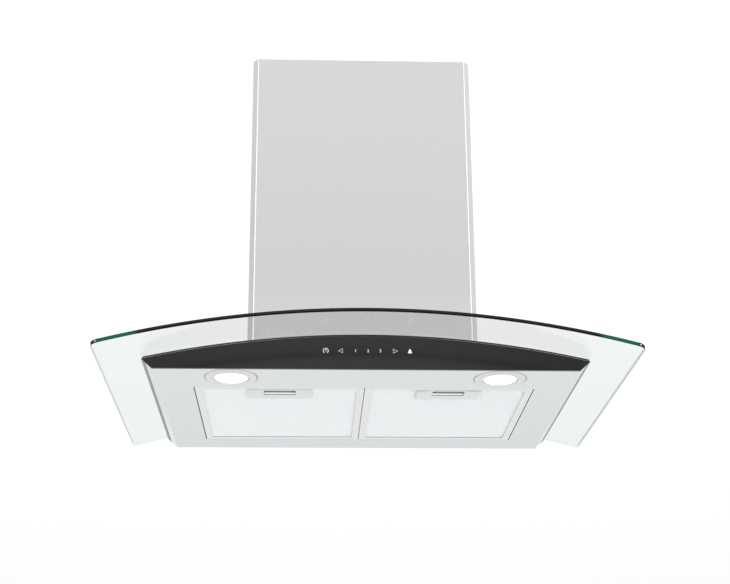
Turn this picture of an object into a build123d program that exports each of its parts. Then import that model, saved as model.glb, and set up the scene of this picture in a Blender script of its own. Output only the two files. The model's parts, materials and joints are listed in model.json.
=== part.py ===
from build123d import *
from math import asin, cos, degrees, radians, sin, sqrt
import os

# Wall-mounted chimney hood with an arched glass canopy.
# Millimetres, +Z up, +X to the right as seen from the front. The wall is the plane Y = 0 and the
# hood's front faces -Y, so a "depth" is a distance from the wall. Z = 0 is the body's underside.

os.makedirs("parts", exist_ok=True)

# ---- Arched glass ----
glass_width = 700.0
glass_depth = 490.0
glass_thickness = 5.0
glass_radius = 1340.0       # of the lower face
glass_crown = 48.0          # height of the lower face at the middle
glass_corner = 10.0         # front corners in plan
notch_corner = 8.0          # inner corners of the notch for the motor box
notch_gap = 3.0             # from the motor box to the notch, all round
glass_hole_radius = 5.0

# ---- Body under the glass ----
body_depth = 402.0          # wall to the face of the control panel
body_width = 592.0          # over the side seals
floor_width = 563.4         # level underside
bevel_height = 13.0
sheet = 1.0                 # stainless sheet of the body and of the chimney
seal_width = 5.5
seal_gap = 0.4              # side seals to the glass
gasket_thickness = 1.5
seat_gap = 0.1              # between curved faces that lie on each other
panel_thickness = 4.0
panel_gap = 0.8             # control panel to the glass
panel_side_gap = 1.0        # its ends inside the seals
panel_edge = 0.5            # polished edge of the control panel

# ---- Touch board behind the control panel ----
board_width = 150.0
board_height = 26.0
board_thickness = 1.6
board_centre_x = 4.0
board_centre_z = 21.0
holder_wall = 2.0
holder_depth = 12.0
part_gap = 0.3              # between small parts that are laid in one another

# ---- Filter bay and filters ----
bay_width = 466.0
bay_rear = 51.5             # depth of the rear edge of the bay
bay_upstand = 10.0
filter_side_gap = 1.2       # to the sides of the bay
filter_gap = 0.4            # half the gap between the filters
filter_front_gap = 0.6
filter_rear_gap = 0.8
filter_height = 9.0
filter_border = 10.0
filter_sheet = 1.0
mesh_gap = 0.3
mesh_thickness = 3.0
mesh_columns = 8
mesh_rows = 8
mesh_rib = 4.5              # web between neighbouring meshes
tab_width = 22.0
tab_length = 7.0
tab_thickness = 1.2
tab_spacing = 150.0
rail_height = 10.0
rail_depth = 9.0

# ---- Filter latches ----
handle_width = 88.0
handle_depth = 46.0
handle_thickness = 1.2
handle_corner = 2.0
handle_inset = 1.4          # from the front face of the filter
finger_width = 44.0
finger_depth = 20.0
finger_inset = 10.5         # from the front face of the filter
latch_travel = 6.0
latch_side_gap = 1.0
latch_plate = 1.5
latch_top_gap = 0.3         # under the filter's upper flange
tongue_width = 20.0
tongue_thickness = 2.0
tongue_reach = 0.2          # tip in front of the filter's front face

# ---- Lamps ----
lamp_x = 180.0
lamp_front_gap = 1.0        # from the bezel to the front wall of the body
lamp_bay_gap = 8.5          # from the bezel to the filter bay
bezel_radius = 35.0
bezel_flange = 2.0
bezel_sleeve_radius = 30.0
bezel_sleeve_height = 8.0
lens_radius = 23.2
lens_thickness = 3.0
lamp_can_radius = 27.0
lamp_can_height = 15.0
lamp_fins = 9
lamp_fin_thickness = 2.0

# ---- Motor box ----
box_width = 250.0
box_rear = 1.0              # depth of its back
box_front = 240.0           # depth of its front
box_top = 290.0
box_flange = 12.0
box_flange_thickness = 1.5
wall_screw_x = 90.0
wall_screw_low = 100.0
wall_screw_high = 250.0
wall_screw_radius = 4.0

# ---- Blower ----
fan_depth = 150.0
fan_height = 150.0
scroll_radius = 76.0        # first quarter of the spiral
scroll_growth = 8.0         # added by each later quarter
scroll_width = 112.0
scroll_wall = 2.5
impeller_radius = 62.0
impeller_bore = 51.0
impeller_width = 92.0
impeller_ring = 2.0
blade_count = 32
blade_inset = 0.5           # ends of a blade inside the rims of the rings
blade_sweep = 9.0           # degrees from root to tip
blade_bow = 3.0             # degrees by which the middle runs behind the straight line
blade_angle = 1.2           # degrees of thickness
hub_plate_thickness = 1.5
hub_plate_gap = 0.1         # hub plate to the ring of the cage in which it sits
hub_radius = 9.0
hub_width = 26.0
lug_count = 6               # pairs of lugs in the cage that grip the hub plate
lug_width = 6.0
lug_depth = 4.0
lug_reach = 3.0             # inside the ring
lug_height = 1.5
shaft_radius = 4.0
shaft_clearance = 0.05
shaft_edge = 0.6
inlet_radius = 50.0
inlet_wall = 1.5
inlet_flange = 8.0
motor_radius = 36.0
motor_length = 50.0
motor_edge = 3.0
bush_radius = 5.0
bush_height = 3.0
bush_circle_radius = 65.0
bracket_thickness = 2.0
bracket_arms = 3
bracket_arm_width = 12.0
bracket_disc_radius = 30.0
bracket_bore = 12.0

# ---- Duct collar and dampers ----
collar_radius = 74.5
collar_wall = 1.5
collar_height = 50.0
collar_depth = 100.0        # depth of its axis
collar_flange = 160.0
collar_flange_thickness = 2.0
collar_flange_corner = 6.0
stop_width = 3.5
stop_thickness = 3.0
stop_height = 10.0          # underside of the stop ring over the motor box
damper_gap = 0.3            # flap to its stop
damper_thickness = 1.2
damper_side_gap = 1.0
damper_root = 3.6           # from the pin to the straight edge of a flap
knuckle_radius = 3.0
knuckle_length = 18.0
knuckle_gap = 6.0
pin_radius = 1.5
pin_clearance = 0.05

# ---- Chimney ----
chimney_width = 328.0
chimney_depth = 270.0
chimney_bevel = 8.0
chimney_top = 536.0
chimney_rear_gap = 0.5
chimney_return = 18.0       # flange turned in along the wall
chimney_slide_gap = 0.5     # between the two covers
upper_top_gap = 3.0
vent_count = 7
vent_length = 90.0
vent_height = 4.0
vent_pitch = 10.0
bracket_height = 28.0
bracket_sheet = 1.2
bracket_arm = 30.0
bracket_half_width = 136.0
bracket_screw_x = 100.0
bracket_screw_radius = 3.0
bracket_drop = 14.0         # top of the bracket under the top of the upper cover
bracket_step_gap = 2.0      # from the flanges of the upper cover to the step behind them
clip_height = 20.0
clip_length = 30.0
clip_base = 72.0

# ---- Small fasteners ----
screw_radius = 2.0
screw_head_radius = 4.0
screw_head_height = 2.5
screw_clearance = 0.05
screw_end = 2.0             # length that stands below the nut
washer_radius = 8.0
washer_thickness = 2.0
glass_screw_depths = (70.0, 205.0)
box_screw_depths = (60.0, 195.0)

# ---- Electrical parts in the motor box and in the body ----
capacitor_radius = 16.0
capacitor_height = 60.0
electronics_size = (36.0, 100.0, 76.0)
electronics_corner = 4.0
electronics_edge = 2.0
driver_size = (36.0, 110.0, 10.0)
driver_corner = 3.0
driver_edge = 1.0
gland_radius = 8.0
gland_nut_radius = 7.0
gland_nut_taper = 12.0      # degrees
gland_height = 14.0
gland_bore = 4.0

# ---- Sizes that follow ----
half_body = body_width / 2
half_floor = floor_width / 2
half_shell = half_body - seal_width
bevel_slope = bevel_height / (half_body - half_floor)
shell_depth = body_depth - panel_thickness
lamp_depth = shell_depth - lamp_front_gap - bezel_radius
bay_front = lamp_depth - bezel_radius - lamp_bay_gap
cover_top = -gasket_thickness               # over the glass's lower face
cover_bottom = cover_top - sheet
half_box = box_width / 2
notch_half = half_box + notch_gap
notch_depth = box_front + notch_gap
glass_screw_x = (notch_half + chimney_width / 2 - sheet) / 2
box_screw_x = half_box - sheet - box_flange / 2
bay_depth = bay_front - bay_rear
filter_width = bay_width / 2 - filter_side_gap - filter_gap
filter_front = bay_front - filter_front_gap
filter_rear = bay_rear + filter_rear_gap
filter_length = filter_front - filter_rear
filter_middle = (filter_front + filter_rear) / 2
filter_x = filter_gap + filter_width / 2
half_scroll = scroll_width / 2
chimney_half = chimney_width / 2
upper_half = chimney_half - sheet - chimney_slide_gap
upper_depth = chimney_depth - sheet - chimney_slide_gap
upper_top = chimney_top - upper_top_gap
upper_bottom = clip_base + clip_height + part_gap   # the upper cover stands on the clips
motor_end = half_scroll + bush_height       # outer end of the motor, from the middle
fan_plane = Plane(origin=(0, -fan_depth, fan_height), x_dir=(0, 1, 0), z_dir=(1, 0, 0))


def arch_height(x, above):
    """Height at x of the arc that runs `above` over the glass's lower face."""
    return glass_crown - glass_radius + sqrt((glass_radius + above) ** 2 - x**2)


def under_arch(half_width, above, floor):
    """Face between a level floor and an arc of the arch."""
    end = arch_height(half_width, above)
    with BuildSketch() as face:
        with BuildLine():
            ThreePointArc((-half_width, end), (0, arch_height(0, above)), (half_width, end))
            Polyline((half_width, end), (half_width, floor), (-half_width, floor), (-half_width, end))
        make_face()
    return face.sketch


def arch_band(half_width, low, high):
    """Face between two arcs of the arch."""
    floor = -2 * glass_crown
    return under_arch(half_width, high, floor) - under_arch(half_width + 1, low, floor - 1)


def trough(half_top, height):
    """Level floor with bevelled sides that stand up from half_top."""
    side = (half_top - half_floor) * bevel_slope
    with BuildSketch() as face:
        with BuildLine():
            Polyline(
                (-half_top, height), (-half_top, side), (-half_floor, 0),
                (half_floor, 0), (half_top, side), (half_top, height), close=True,
            )
        make_face()
    return face.sketch


def scroll_face(wall, top):
    """Spiral of three quarter arcs that runs into a straight outlet, `wall` inside the outer one."""
    radius = scroll_radius - wall
    tongue = degrees(asin(wall / radius))
    rear = scroll_growth + scroll_radius + 2 * scroll_growth - wall
    with BuildSketch() as face:
        with BuildLine():
            first = CenterArc((0, 0), radius, 90 - tongue, 90 + tongue)
            CenterArc((scroll_growth, 0), radius + scroll_growth, 180, 90)
            CenterArc((scroll_growth, scroll_growth), radius + 2 * scroll_growth, 270, 90)
            Polyline((rear, scroll_growth), (rear, top), (wall, top), first @ 0)
        make_face()
    return face.sketch


def chimney_plan(half_width, depth, rear, wall):
    """Folded cover in plan: two bevelled front edges, and flanges turned in along the wall."""
    bevel = chimney_bevel - (2 - sqrt(2)) * (chimney_half - half_width)
    inner_bevel = bevel - (2 - sqrt(2)) * wall
    inner = half_width - wall
    with BuildSketch() as face:
        with BuildLine():
            Polyline(
                (-half_width, -rear), (-half_width, bevel - depth), (bevel - half_width, -depth),
                (half_width - bevel, -depth), (half_width, bevel - depth), (half_width, -rear),
                close=True,
            )
        make_face()
        with BuildLine():
            Polyline(
                (-inner, -rear - wall), (-inner, inner_bevel + wall - depth),
                (inner_bevel - inner, wall - depth), (inner - inner_bevel, wall - depth),
                (inner, inner_bevel + wall - depth), (inner, -rear - wall), close=True,
            )
        make_face(mode=Mode.SUBTRACT)
        with Locations((0, -rear - wall)):
            Rectangle(2 * (half_width - chimney_return), 4 * wall, mode=Mode.SUBTRACT)
    return face.sketch


# ---- Glass canopy ----
glass_screw_places = [(s * glass_screw_x, -d) for s in (-1, 1) for d in glass_screw_depths]

with BuildPart() as glass_canopy:
    with BuildSketch(Plane.XZ):
        add(arch_band(glass_width / 2, 0, glass_thickness))
    extrude(amount=glass_depth)
    front_edges = glass_canopy.faces().sort_by(Axis.Y)[0].edges()
    fillet(front_edges.filter_by(GeomType.LINE), radius=glass_corner)
    with BuildSketch(Plane.XY) as notch:
        with Locations((0, -notch_depth / 2)):
            Rectangle(2 * notch_half, notch_depth)
        fillet(notch.vertices().group_by(Axis.Y)[0], radius=notch_corner)
        with Locations(*glass_screw_places):
            Circle(glass_hole_radius)
    extrude(amount=glass_crown + 2 * glass_thickness, mode=Mode.SUBTRACT)
glass_canopy.part.label = "glass_canopy"
export_step(glass_canopy.part, "parts/glass_canopy.step")

# ---- Body: folded shell ----
with BuildPart() as canopy_shell:
    with BuildSketch(Plane.XZ):
        add(trough(half_shell, 2 * glass_crown))
    extrude(amount=shell_depth)
    with BuildSketch(Plane.XZ.offset(sheet)) as hollow:
        add(trough(half_shell, 2 * glass_crown))
        offset(amount=-sheet, kind=Kind.INTERSECTION, mode=Mode.REPLACE)
    extrude(amount=shell_depth - 2 * sheet, mode=Mode.SUBTRACT)
    with BuildSketch(Plane.XZ):
        add(under_arch(half_shell + 1, cover_bottom - seat_gap, -1))
    extrude(amount=shell_depth, mode=Mode.INTERSECT)
    with BuildSketch(Plane.XY):
        with Locations((0, -(bay_front + bay_rear) / 2)):
            Rectangle(bay_width, bay_depth)
        with Locations((-lamp_x, -lamp_depth), (lamp_x, -lamp_depth)):
            Circle(bezel_sleeve_radius + part_gap)
    extrude(amount=sheet, mode=Mode.SUBTRACT)
    with BuildSketch(Plane.XY.offset(sheet)):
        for side in (-1, 1):
            with Locations((side * (bay_width + sheet) / 2, -(bay_front + bay_rear) / 2)):
                Rectangle(sheet, bay_depth)
    extrude(amount=bay_upstand)
    with BuildSketch(Plane.XZ.offset(shell_depth)):
        with Locations((board_centre_x, board_centre_z)):
            Rectangle(board_width, board_height)
    extrude(amount=-sheet, mode=Mode.SUBTRACT)
canopy_shell.part.label = "canopy_shell"
export_step(canopy_shell.part, "parts/canopy_shell.step")

# ---- Body: arched cover with the air opening, under the glass ----
box_screw_places = [(s * box_screw_x, -d) for s in (-1, 1) for d in box_screw_depths]
air_half = half_box - sheet - box_flange
air_front = box_front - sheet - box_flange
air_rear = box_rear + sheet + box_flange

with BuildPart() as canopy_top_cover:
    with BuildSketch(Plane.XZ):
        add(arch_band(half_shell, cover_bottom, cover_top))
    extrude(amount=shell_depth)
    with BuildSketch(Plane.XY):
        with Locations((0, -(air_front + air_rear) / 2)):
            Rectangle(2 * air_half, air_front - air_rear)
        with Locations(*glass_screw_places, *box_screw_places):
            Circle(screw_radius + screw_clearance)
    extrude(amount=2 * glass_crown, mode=Mode.SUBTRACT)
canopy_top_cover.part.label = "canopy_top_cover"
export_step(canopy_top_cover.part, "parts/canopy_top_cover.step")

# ---- Body: foam gasket on the cover, round the notch and along the front ----
gasket_band = 22.0          # in front of the notch
gasket_margin = 4.0
gasket_screw_margin = 8.5   # from the middle of a glass screw to the gasket's side
gasket_front_width = 10.0

with BuildPart() as glass_gasket:
    with BuildSketch(Plane.XZ):
        add(arch_band(half_shell - part_gap, cover_top + seat_gap, -seat_gap))
    extrude(amount=shell_depth)
    with BuildSketch(Plane.XY):
        with Locations((0, -(notch_depth + gasket_margin + gasket_band) / 2)):
            Rectangle(
                2 * (glass_screw_x + gasket_screw_margin), notch_depth + gasket_margin + gasket_band
            )
        with Locations((0, -(notch_depth + gasket_margin) / 2)):
            Rectangle(
                2 * (notch_half + gasket_margin), notch_depth + gasket_margin, mode=Mode.SUBTRACT
            )
        with Locations(*glass_screw_places):
            Circle(screw_radius + part_gap, mode=Mode.SUBTRACT)
        with Locations((0, gasket_front_width / 2 - shell_depth)):
            Rectangle(body_width, gasket_front_width)
    extrude(amount=2 * glass_crown, mode=Mode.INTERSECT)
glass_gasket.part.label = "glass_gasket"
export_step(glass_gasket.part, "parts/glass_gasket.step")

# ---- Body: dark seals along both sides ----
for side, name in ((-1, "side_seal_left"), (1, "side_seal_right")):
    with BuildPart() as side_seal:
        with BuildSketch(Plane.XZ):
            with BuildLine():
                Polyline(
                    (side * half_shell, (half_shell - half_floor) * bevel_slope),
                    (side * half_body, bevel_height),
                    (side * half_body, arch_height(half_body, -seal_gap)),
                    (side * half_shell, arch_height(half_shell, -seal_gap)),
                    close=True,
                )
            make_face()
        extrude(amount=shell_depth)
    side_seal.part.label = name
    export_step(side_seal.part, f"parts/{name}.step")

# ---- Control panel ----
panel_half = half_body - panel_side_gap

with BuildPart() as control_panel:
    with BuildSketch(Plane.XZ.offset(shell_depth)):
        add(under_arch(panel_half, -panel_gap, 0))
        add(trough(panel_half, 2 * glass_crown), mode=Mode.INTERSECT)
    extrude(amount=panel_thickness)
    chamfer(control_panel.faces().sort_by(Axis.Y)[0].edges(), length=panel_edge)
control_panel.part.label = "control_panel"
export_step(control_panel.part, "parts/control_panel.step")

# ---- Touch board in its holder, behind the window of the shell ----
board_front = shell_depth - sheet
chip_size = (12.0, 12.0)
chip_height = 3.0
key_sensor_pitch = 16.0
key_count = 7
key_sensor_size = 9.0
key_sensor_height = 0.8

with BuildPart() as touch_board:
    with BuildSketch(Plane.XZ.offset(board_front)):
        with Locations((board_centre_x, board_centre_z)):
            Rectangle(board_width - 2 * part_gap, board_height - 2 * part_gap)
    extrude(amount=-board_thickness)
    with BuildSketch(Plane.XZ.offset(board_front)):
        with Locations((board_centre_x, board_centre_z)):
            with GridLocations(key_sensor_pitch, 1, key_count, 1):
                Rectangle(key_sensor_size, key_sensor_size)
    extrude(amount=key_sensor_height)
    with BuildSketch(Plane.XZ.offset(board_front - board_thickness)):
        with Locations((board_centre_x - board_width / 4, board_centre_z)):
            Rectangle(*chip_size)
        with Locations((board_centre_x + board_width / 4, board_centre_z)):
            Rectangle(*chip_size)
    extrude(amount=-chip_height)
touch_board.part.label = "touch_board"
export_step(touch_board.part, "parts/touch_board.step")

with BuildPart() as board_holder:
    with BuildSketch(Plane.XZ.offset(board_front)):
        with Locations((board_centre_x, board_centre_z)):
            RectangleRounded(board_width + 2 * holder_wall, board_height + 2 * holder_wall, holder_wall)
    extrude(amount=-holder_depth)
    with BuildSketch(Plane.XZ.offset(board_front)):
        with Locations((board_centre_x, board_centre_z)):
            Rectangle(board_width, board_height)
    extrude(amount=holder_wall - holder_depth, mode=Mode.SUBTRACT)
board_holder.part.label = "board_holder"
export_step(board_holder.part, "parts/board_holder.step")

# ---- Rail behind the bay that keeps the filters' tabs down ----
with BuildPart() as filter_rail:
    with BuildSketch(Plane.YZ):
        with BuildLine():
            Polyline(
                (-bay_rear + rail_depth, sheet),
                (-bay_rear + rail_depth, sheet + rail_height),
                (-bay_rear + 2 * sheet, sheet + rail_height),
                (-bay_rear + 2 * sheet, rail_height),
                (-bay_rear + rail_depth - sheet, rail_height),
                (-bay_rear + rail_depth - sheet, sheet),
                close=True,
            )
        make_face()
    extrude(amount=bay_width / 2, both=True)
filter_rail.part.label = "filter_rail"
export_step(filter_rail.part, "parts/filter_rail.step")

# ---- Filters ----
pocket_width = finger_width + 4 * latch_side_gap
pocket_rear = filter_front - finger_inset - finger_depth - latch_travel - 2 * latch_side_gap
tongue_z = filter_height / 2
tongue_slot_gap = 0.4
mesh_low = filter_sheet + mesh_gap
handle_middle = filter_front - handle_inset - handle_depth / 2
finger_middle = filter_front - finger_inset - finger_depth / 2
latch_half = finger_width / 2 + latch_side_gap
latch_front = filter_front - finger_inset + latch_side_gap
latch_rear = filter_front - finger_inset - finger_depth - latch_side_gap
latch_top = filter_height - filter_sheet - latch_top_gap

for side, word in ((-1, "left"), (1, "right")):
    middle = side * filter_x

    with BuildPart() as filter_frame:
        with BuildSketch(Plane.XY):
            with Locations((middle, -filter_middle)):
                Rectangle(filter_width, filter_length)
                Rectangle(
                    filter_width - 2 * filter_border, filter_length - 2 * filter_border,
                    mode=Mode.SUBTRACT,
                )
        extrude(amount=filter_height)
        with BuildSketch(Plane.XY.offset(filter_sheet)):
            with Locations((middle, -filter_middle)):
                Rectangle(filter_width - 2 * filter_sheet, filter_length - 2 * filter_sheet)
        extrude(amount=filter_height - 2 * filter_sheet, mode=Mode.SUBTRACT)
        with BuildSketch(Plane.XZ.offset(filter_front)):
            with Locations((middle, tongue_z)):
                Rectangle(tongue_width + 2 * tongue_slot_gap, tongue_thickness + 2 * tongue_slot_gap)
        extrude(amount=-filter_sheet, mode=Mode.SUBTRACT)
        with BuildSketch(Plane.XY.offset(sheet + mesh_gap)):
            for tab in (-1, 1):
                with Locations((middle + tab * tab_spacing / 2, tab_length / 2 - filter_rear)):
                    Rectangle(tab_width, tab_length)
        extrude(amount=tab_thickness)
    filter_frame.part.label = f"filter_frame_{word}"
    export_step(filter_frame.part, f"parts/filter_frame_{word}.step")

    mesh_width = filter_width - 2 * filter_sheet - 2 * mesh_gap
    mesh_length = filter_length - 2 * filter_sheet - 2 * mesh_gap
    pitch_x = (filter_width - 2 * filter_border) / mesh_columns
    pitch_y = (filter_length - 2 * filter_border) / mesh_rows
    with BuildPart() as filter_mesh:
        with BuildSketch(Plane.XY.offset(mesh_low)):
            with Locations((middle, -filter_middle)):
                Rectangle(mesh_width, mesh_length)
                with GridLocations(pitch_x, pitch_y, mesh_columns, mesh_rows):
                    Polygon(
                        (mesh_rib / 2 - pitch_x / 2, 0), (0, pitch_y / 2 - mesh_rib / 2),
                        (pitch_x / 2 - mesh_rib / 2, 0), (0, mesh_rib / 2 - pitch_y / 2),
                        mode=Mode.SUBTRACT,
                    )
            with Locations((middle, -(filter_front + pocket_rear) / 2)):
                Rectangle(pocket_width, filter_front - pocket_rear, mode=Mode.SUBTRACT)
        extrude(amount=mesh_thickness)
    filter_mesh.part.label = f"filter_mesh_{word}"
    export_step(filter_mesh.part, f"parts/filter_mesh_{word}.step")

    with BuildPart() as filter_handle:
        with BuildSketch(Plane.XY):
            with Locations((middle, -handle_middle)):
                RectangleRounded(handle_width, handle_depth, handle_corner)
            with Locations((middle, -finger_middle)):
                RectangleRounded(finger_width, finger_depth, handle_corner, mode=Mode.SUBTRACT)
        extrude(amount=-handle_thickness)
    filter_handle.part.label = f"filter_handle_{word}"
    export_step(filter_handle.part, f"parts/filter_handle_{word}.step")

    with BuildPart() as filter_latch:
        with BuildSketch(Plane.XY.offset(mesh_low)):
            with Locations((middle, -(latch_front + latch_rear) / 2)):
                Rectangle(2 * latch_half, latch_front - latch_rear)
        extrude(amount=latch_top - mesh_low)
        with BuildSketch(Plane.XY.offset(mesh_low)):
            with Locations((middle, -(latch_front + latch_rear) / 2)):
                Rectangle(2 * latch_half, latch_front - latch_rear - 2 * latch_plate)
        extrude(amount=latch_top - latch_plate - mesh_low, mode=Mode.SUBTRACT)
        with BuildSketch(Plane.XZ.offset(latch_front)):
            with Locations((middle, tongue_z)):
                Rectangle(tongue_width, tongue_thickness)
        extrude(amount=filter_front + tongue_reach - latch_front)
    filter_latch.part.label = f"filter_latch_{word}"
    export_step(filter_latch.part, f"parts/filter_latch_{word}.step")

# ---- Lamps ----
lens_seat = 1.0             # the lens stands this deep in the bezel
bezel_step = 3.5            # width of the raised rim round the lens
bezel_face = 1.0

for side, word in ((-1, "left"), (1, "right")):
    lamp_plane = Plane(origin=(side * lamp_x, -lamp_depth, 0), x_dir=(1, 0, 0), z_dir=(0, -1, 0))

    with BuildPart() as lamp_bezel:
        with BuildSketch(lamp_plane) as profile:
            with BuildLine():
                Polyline(
                    (lens_radius + part_gap, -bezel_flange),
                    (lens_radius + bezel_step, -bezel_flange),
                    (lens_radius + bezel_step + bezel_face, -bezel_face),
                    (bezel_radius - bezel_face, -bezel_face),
                    (bezel_radius, 0),
                    (bezel_sleeve_radius, 0),
                    (bezel_sleeve_radius, bezel_sleeve_height),
                    (bezel_sleeve_radius - sheet, bezel_sleeve_height),
                    (bezel_sleeve_radius - sheet, lens_thickness - lens_seat),
                    (lens_radius + part_gap, lens_thickness - lens_seat),
                    close=True,
                )
            make_face()
        revolve(axis=Axis((side * lamp_x, -lamp_depth, 0), (0, 0, 1)))
    lamp_bezel.part.label = f"lamp_bezel_{word}"
    export_step(lamp_bezel.part, f"parts/lamp_bezel_{word}.step")

    with BuildPart() as lamp_lens:
        with BuildSketch(Plane.XY.offset(-lens_seat)):
            with Locations((side * lamp_x, -lamp_depth)):
                Circle(lens_radius)
        extrude(amount=lens_thickness)
    lamp_lens.part.label = f"lamp_lens_{word}"
    export_step(lamp_lens.part, f"parts/lamp_lens_{word}.step")

    can_base = lens_thickness - lens_seat
    with BuildPart() as lamp_body:
        with BuildSketch(Plane.XY.offset(can_base)):
            with Locations((side * lamp_x, -lamp_depth)):
                Circle(lamp_can_radius)
        extrude(amount=lamp_can_height / 2)
        with BuildSketch(Plane.XY.offset(can_base + lamp_can_height / 2)):
            with Locations((side * lamp_x, -lamp_depth)):
                with GridLocations(2 * lamp_can_radius / lamp_fins, 1, lamp_fins, 1):
                    Rectangle(lamp_fin_thickness, 2 * lamp_can_radius)
                Circle(lamp_can_radius, mode=Mode.INTERSECT)
        extrude(amount=lamp_can_height / 2)
    lamp_body.part.label = f"lamp_body_{word}"
    export_step(lamp_body.part, f"parts/lamp_body_{word}.step")

# ---- Motor box: open below, flanged where it stands on the cover ----
with BuildPart() as box_cavity:
    with BuildSketch(Plane.XY):
        with Locations((0, -(box_front + box_rear) / 2)):
            Rectangle(box_width - 2 * sheet, box_front - box_rear - 2 * sheet)
    extrude(amount=box_top - sheet)
    with BuildSketch(Plane.XZ):
        add(under_arch(half_box, cover_top + seat_gap + box_flange_thickness, -1))
    extrude(amount=box_front, mode=Mode.SUBTRACT)

outlet_front = fan_depth - scroll_wall
outlet_rear = fan_depth - 3 * scroll_growth - scroll_radius + scroll_wall

with BuildPart() as motor_box:
    with BuildSketch(Plane.XY):
        with Locations((0, -(box_front + box_rear) / 2)):
            Rectangle(box_width, box_front - box_rear)
    extrude(amount=box_top)
    with BuildSketch(Plane.XZ):
        add(under_arch(half_box + 1, cover_top + seat_gap, -1))
    extrude(amount=box_front, mode=Mode.SUBTRACT)
    add(box_cavity.part, mode=Mode.SUBTRACT)
    with BuildSketch(Plane.XY):
        with Locations((0, -(air_front + air_rear) / 2)):
            Rectangle(2 * air_half, air_front - air_rear)
        with Locations(*box_screw_places):
            Circle(screw_radius + screw_clearance)
    extrude(amount=glass_crown + 2 * box_flange_thickness, mode=Mode.SUBTRACT)
    with BuildSketch(Plane.XY.offset(box_top)):
        with Locations((0, -(outlet_front + outlet_rear) / 2)):
            Rectangle(scroll_width - 2 * scroll_wall, outlet_front - outlet_rear)
    extrude(amount=-sheet, mode=Mode.SUBTRACT)
    with BuildSketch(Plane.XZ.offset(box_rear)):
        with Locations((0, (wall_screw_low + wall_screw_high) / 2)):
            with GridLocations(2 * wall_screw_x, wall_screw_high - wall_screw_low, 2, 2):
                Circle(wall_screw_radius)
    extrude(amount=sheet, mode=Mode.SUBTRACT)
motor_box.part.label = "motor_box"
export_step(motor_box.part, "parts/motor_box.step")

# ---- Screws of the motor box ----
with BuildPart() as motor_box_screws:
    seat = arch_height(box_screw_x - screw_head_radius, cover_top + seat_gap) + box_flange_thickness
    with BuildSketch(Plane.XY.offset(seat)):
        with Locations(*box_screw_places):
            Circle(screw_head_radius)
    extrude(amount=screw_head_height)
    with BuildSketch(Plane.XY.offset(seat)):
        with Locations(*box_screw_places):
            Circle(screw_radius)
    extrude(amount=-3 * screw_head_height)
motor_box_screws.part.label = "motor_box_screws"
export_step(motor_box_screws.part, "parts/motor_box_screws.step")

# ---- Rubber washers and screws of the glass ----
washer_top = arch_height(glass_screw_x - washer_radius, glass_thickness) + washer_thickness

with BuildPart() as glass_washers:
    with BuildSketch(Plane.XY.offset(washer_top)):
        with Locations(*glass_screw_places):
            Circle(washer_radius)
            Circle(screw_radius + screw_clearance, mode=Mode.SUBTRACT)
    extrude(amount=-4 * washer_thickness)
    with BuildSketch(Plane.XZ):
        add(under_arch(glass_screw_x + 2 * washer_radius, glass_thickness + seat_gap, -1))
    extrude(amount=glass_depth, mode=Mode.SUBTRACT)
glass_washers.part.label = "glass_washers"
export_step(glass_washers.part, "parts/glass_washers.step")

with BuildPart() as glass_screws:
    with BuildSketch(Plane.XY.offset(washer_top)):
        with Locations(*glass_screw_places):
            Circle(screw_head_radius)
    extrude(amount=screw_head_height)
    with BuildSketch(Plane.XY.offset(washer_top)):
        with Locations(*glass_screw_places):
            Circle(screw_radius)
    extrude(amount=-(washer_thickness + glass_thickness + gasket_thickness + 3 * sheet + screw_end))
glass_screws.part.label = "glass_screws"
export_step(glass_screws.part, "parts/glass_screws.step")

# ---- Blower scroll, in two halves, with an inlet ring on each side ----
scroll_top = box_top - sheet - part_gap - fan_height

for side, word in ((-1, "left"), (1, "right")):
    with BuildPart() as scroll_half:
        with BuildSketch(fan_plane):
            add(scroll_face(0, scroll_top))
        extrude(amount=side * half_scroll)
        with BuildSketch(fan_plane):
            add(scroll_face(scroll_wall, scroll_top + 1))
        extrude(amount=side * (half_scroll - scroll_wall), mode=Mode.SUBTRACT)
        with BuildSketch(fan_plane):
            Circle(inlet_radius + inlet_wall + part_gap)
        extrude(amount=side * half_scroll, mode=Mode.SUBTRACT)
    scroll_half.part.label = f"scroll_half_{word}"
    export_step(scroll_half.part, f"parts/scroll_half_{word}.step")

    ring_plane = fan_plane.offset(side * half_scroll)
    with BuildPart() as inlet_ring:
        with BuildSketch(ring_plane):
            Circle(inlet_radius + inlet_flange)
            Circle(inlet_radius, mode=Mode.SUBTRACT)
        extrude(amount=side * inlet_wall)
        with BuildSketch(ring_plane):
            Circle(inlet_radius + inlet_wall)
            Circle(inlet_radius, mode=Mode.SUBTRACT)
        extrude(amount=-side * 2 * scroll_wall)
        mouth = inlet_ring.edges().filter_by(GeomType.CIRCLE).sort_by(Axis.X)
        mouth = mouth.filter_by(lambda e: abs(e.radius - inlet_radius) < part_gap)
        chamfer(mouth[-1 if side > 0 else 0], length=inlet_wall - part_gap)
    inlet_ring.part.label = f"inlet_ring_{word}"
    export_step(inlet_ring.part, f"parts/inlet_ring_{word}.step")

# ---- Impeller: two rows of forward-curved blades on one disc ----
root_radius = impeller_bore + blade_inset
tip_radius = impeller_radius - blade_inset
belly_radius = (root_radius + tip_radius) / 2
belly_angle = blade_sweep / 2 - blade_bow
lug_circle_radius = impeller_bore + lug_depth / 2 - lug_reach
plate_start = -impeller_ring / 2
blade_span = impeller_width - 2 * impeller_ring


def polar(radius, angle):
    """Point at a radius and an angle in degrees."""
    return (radius * cos(radians(angle)), radius * sin(radians(angle)))


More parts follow.
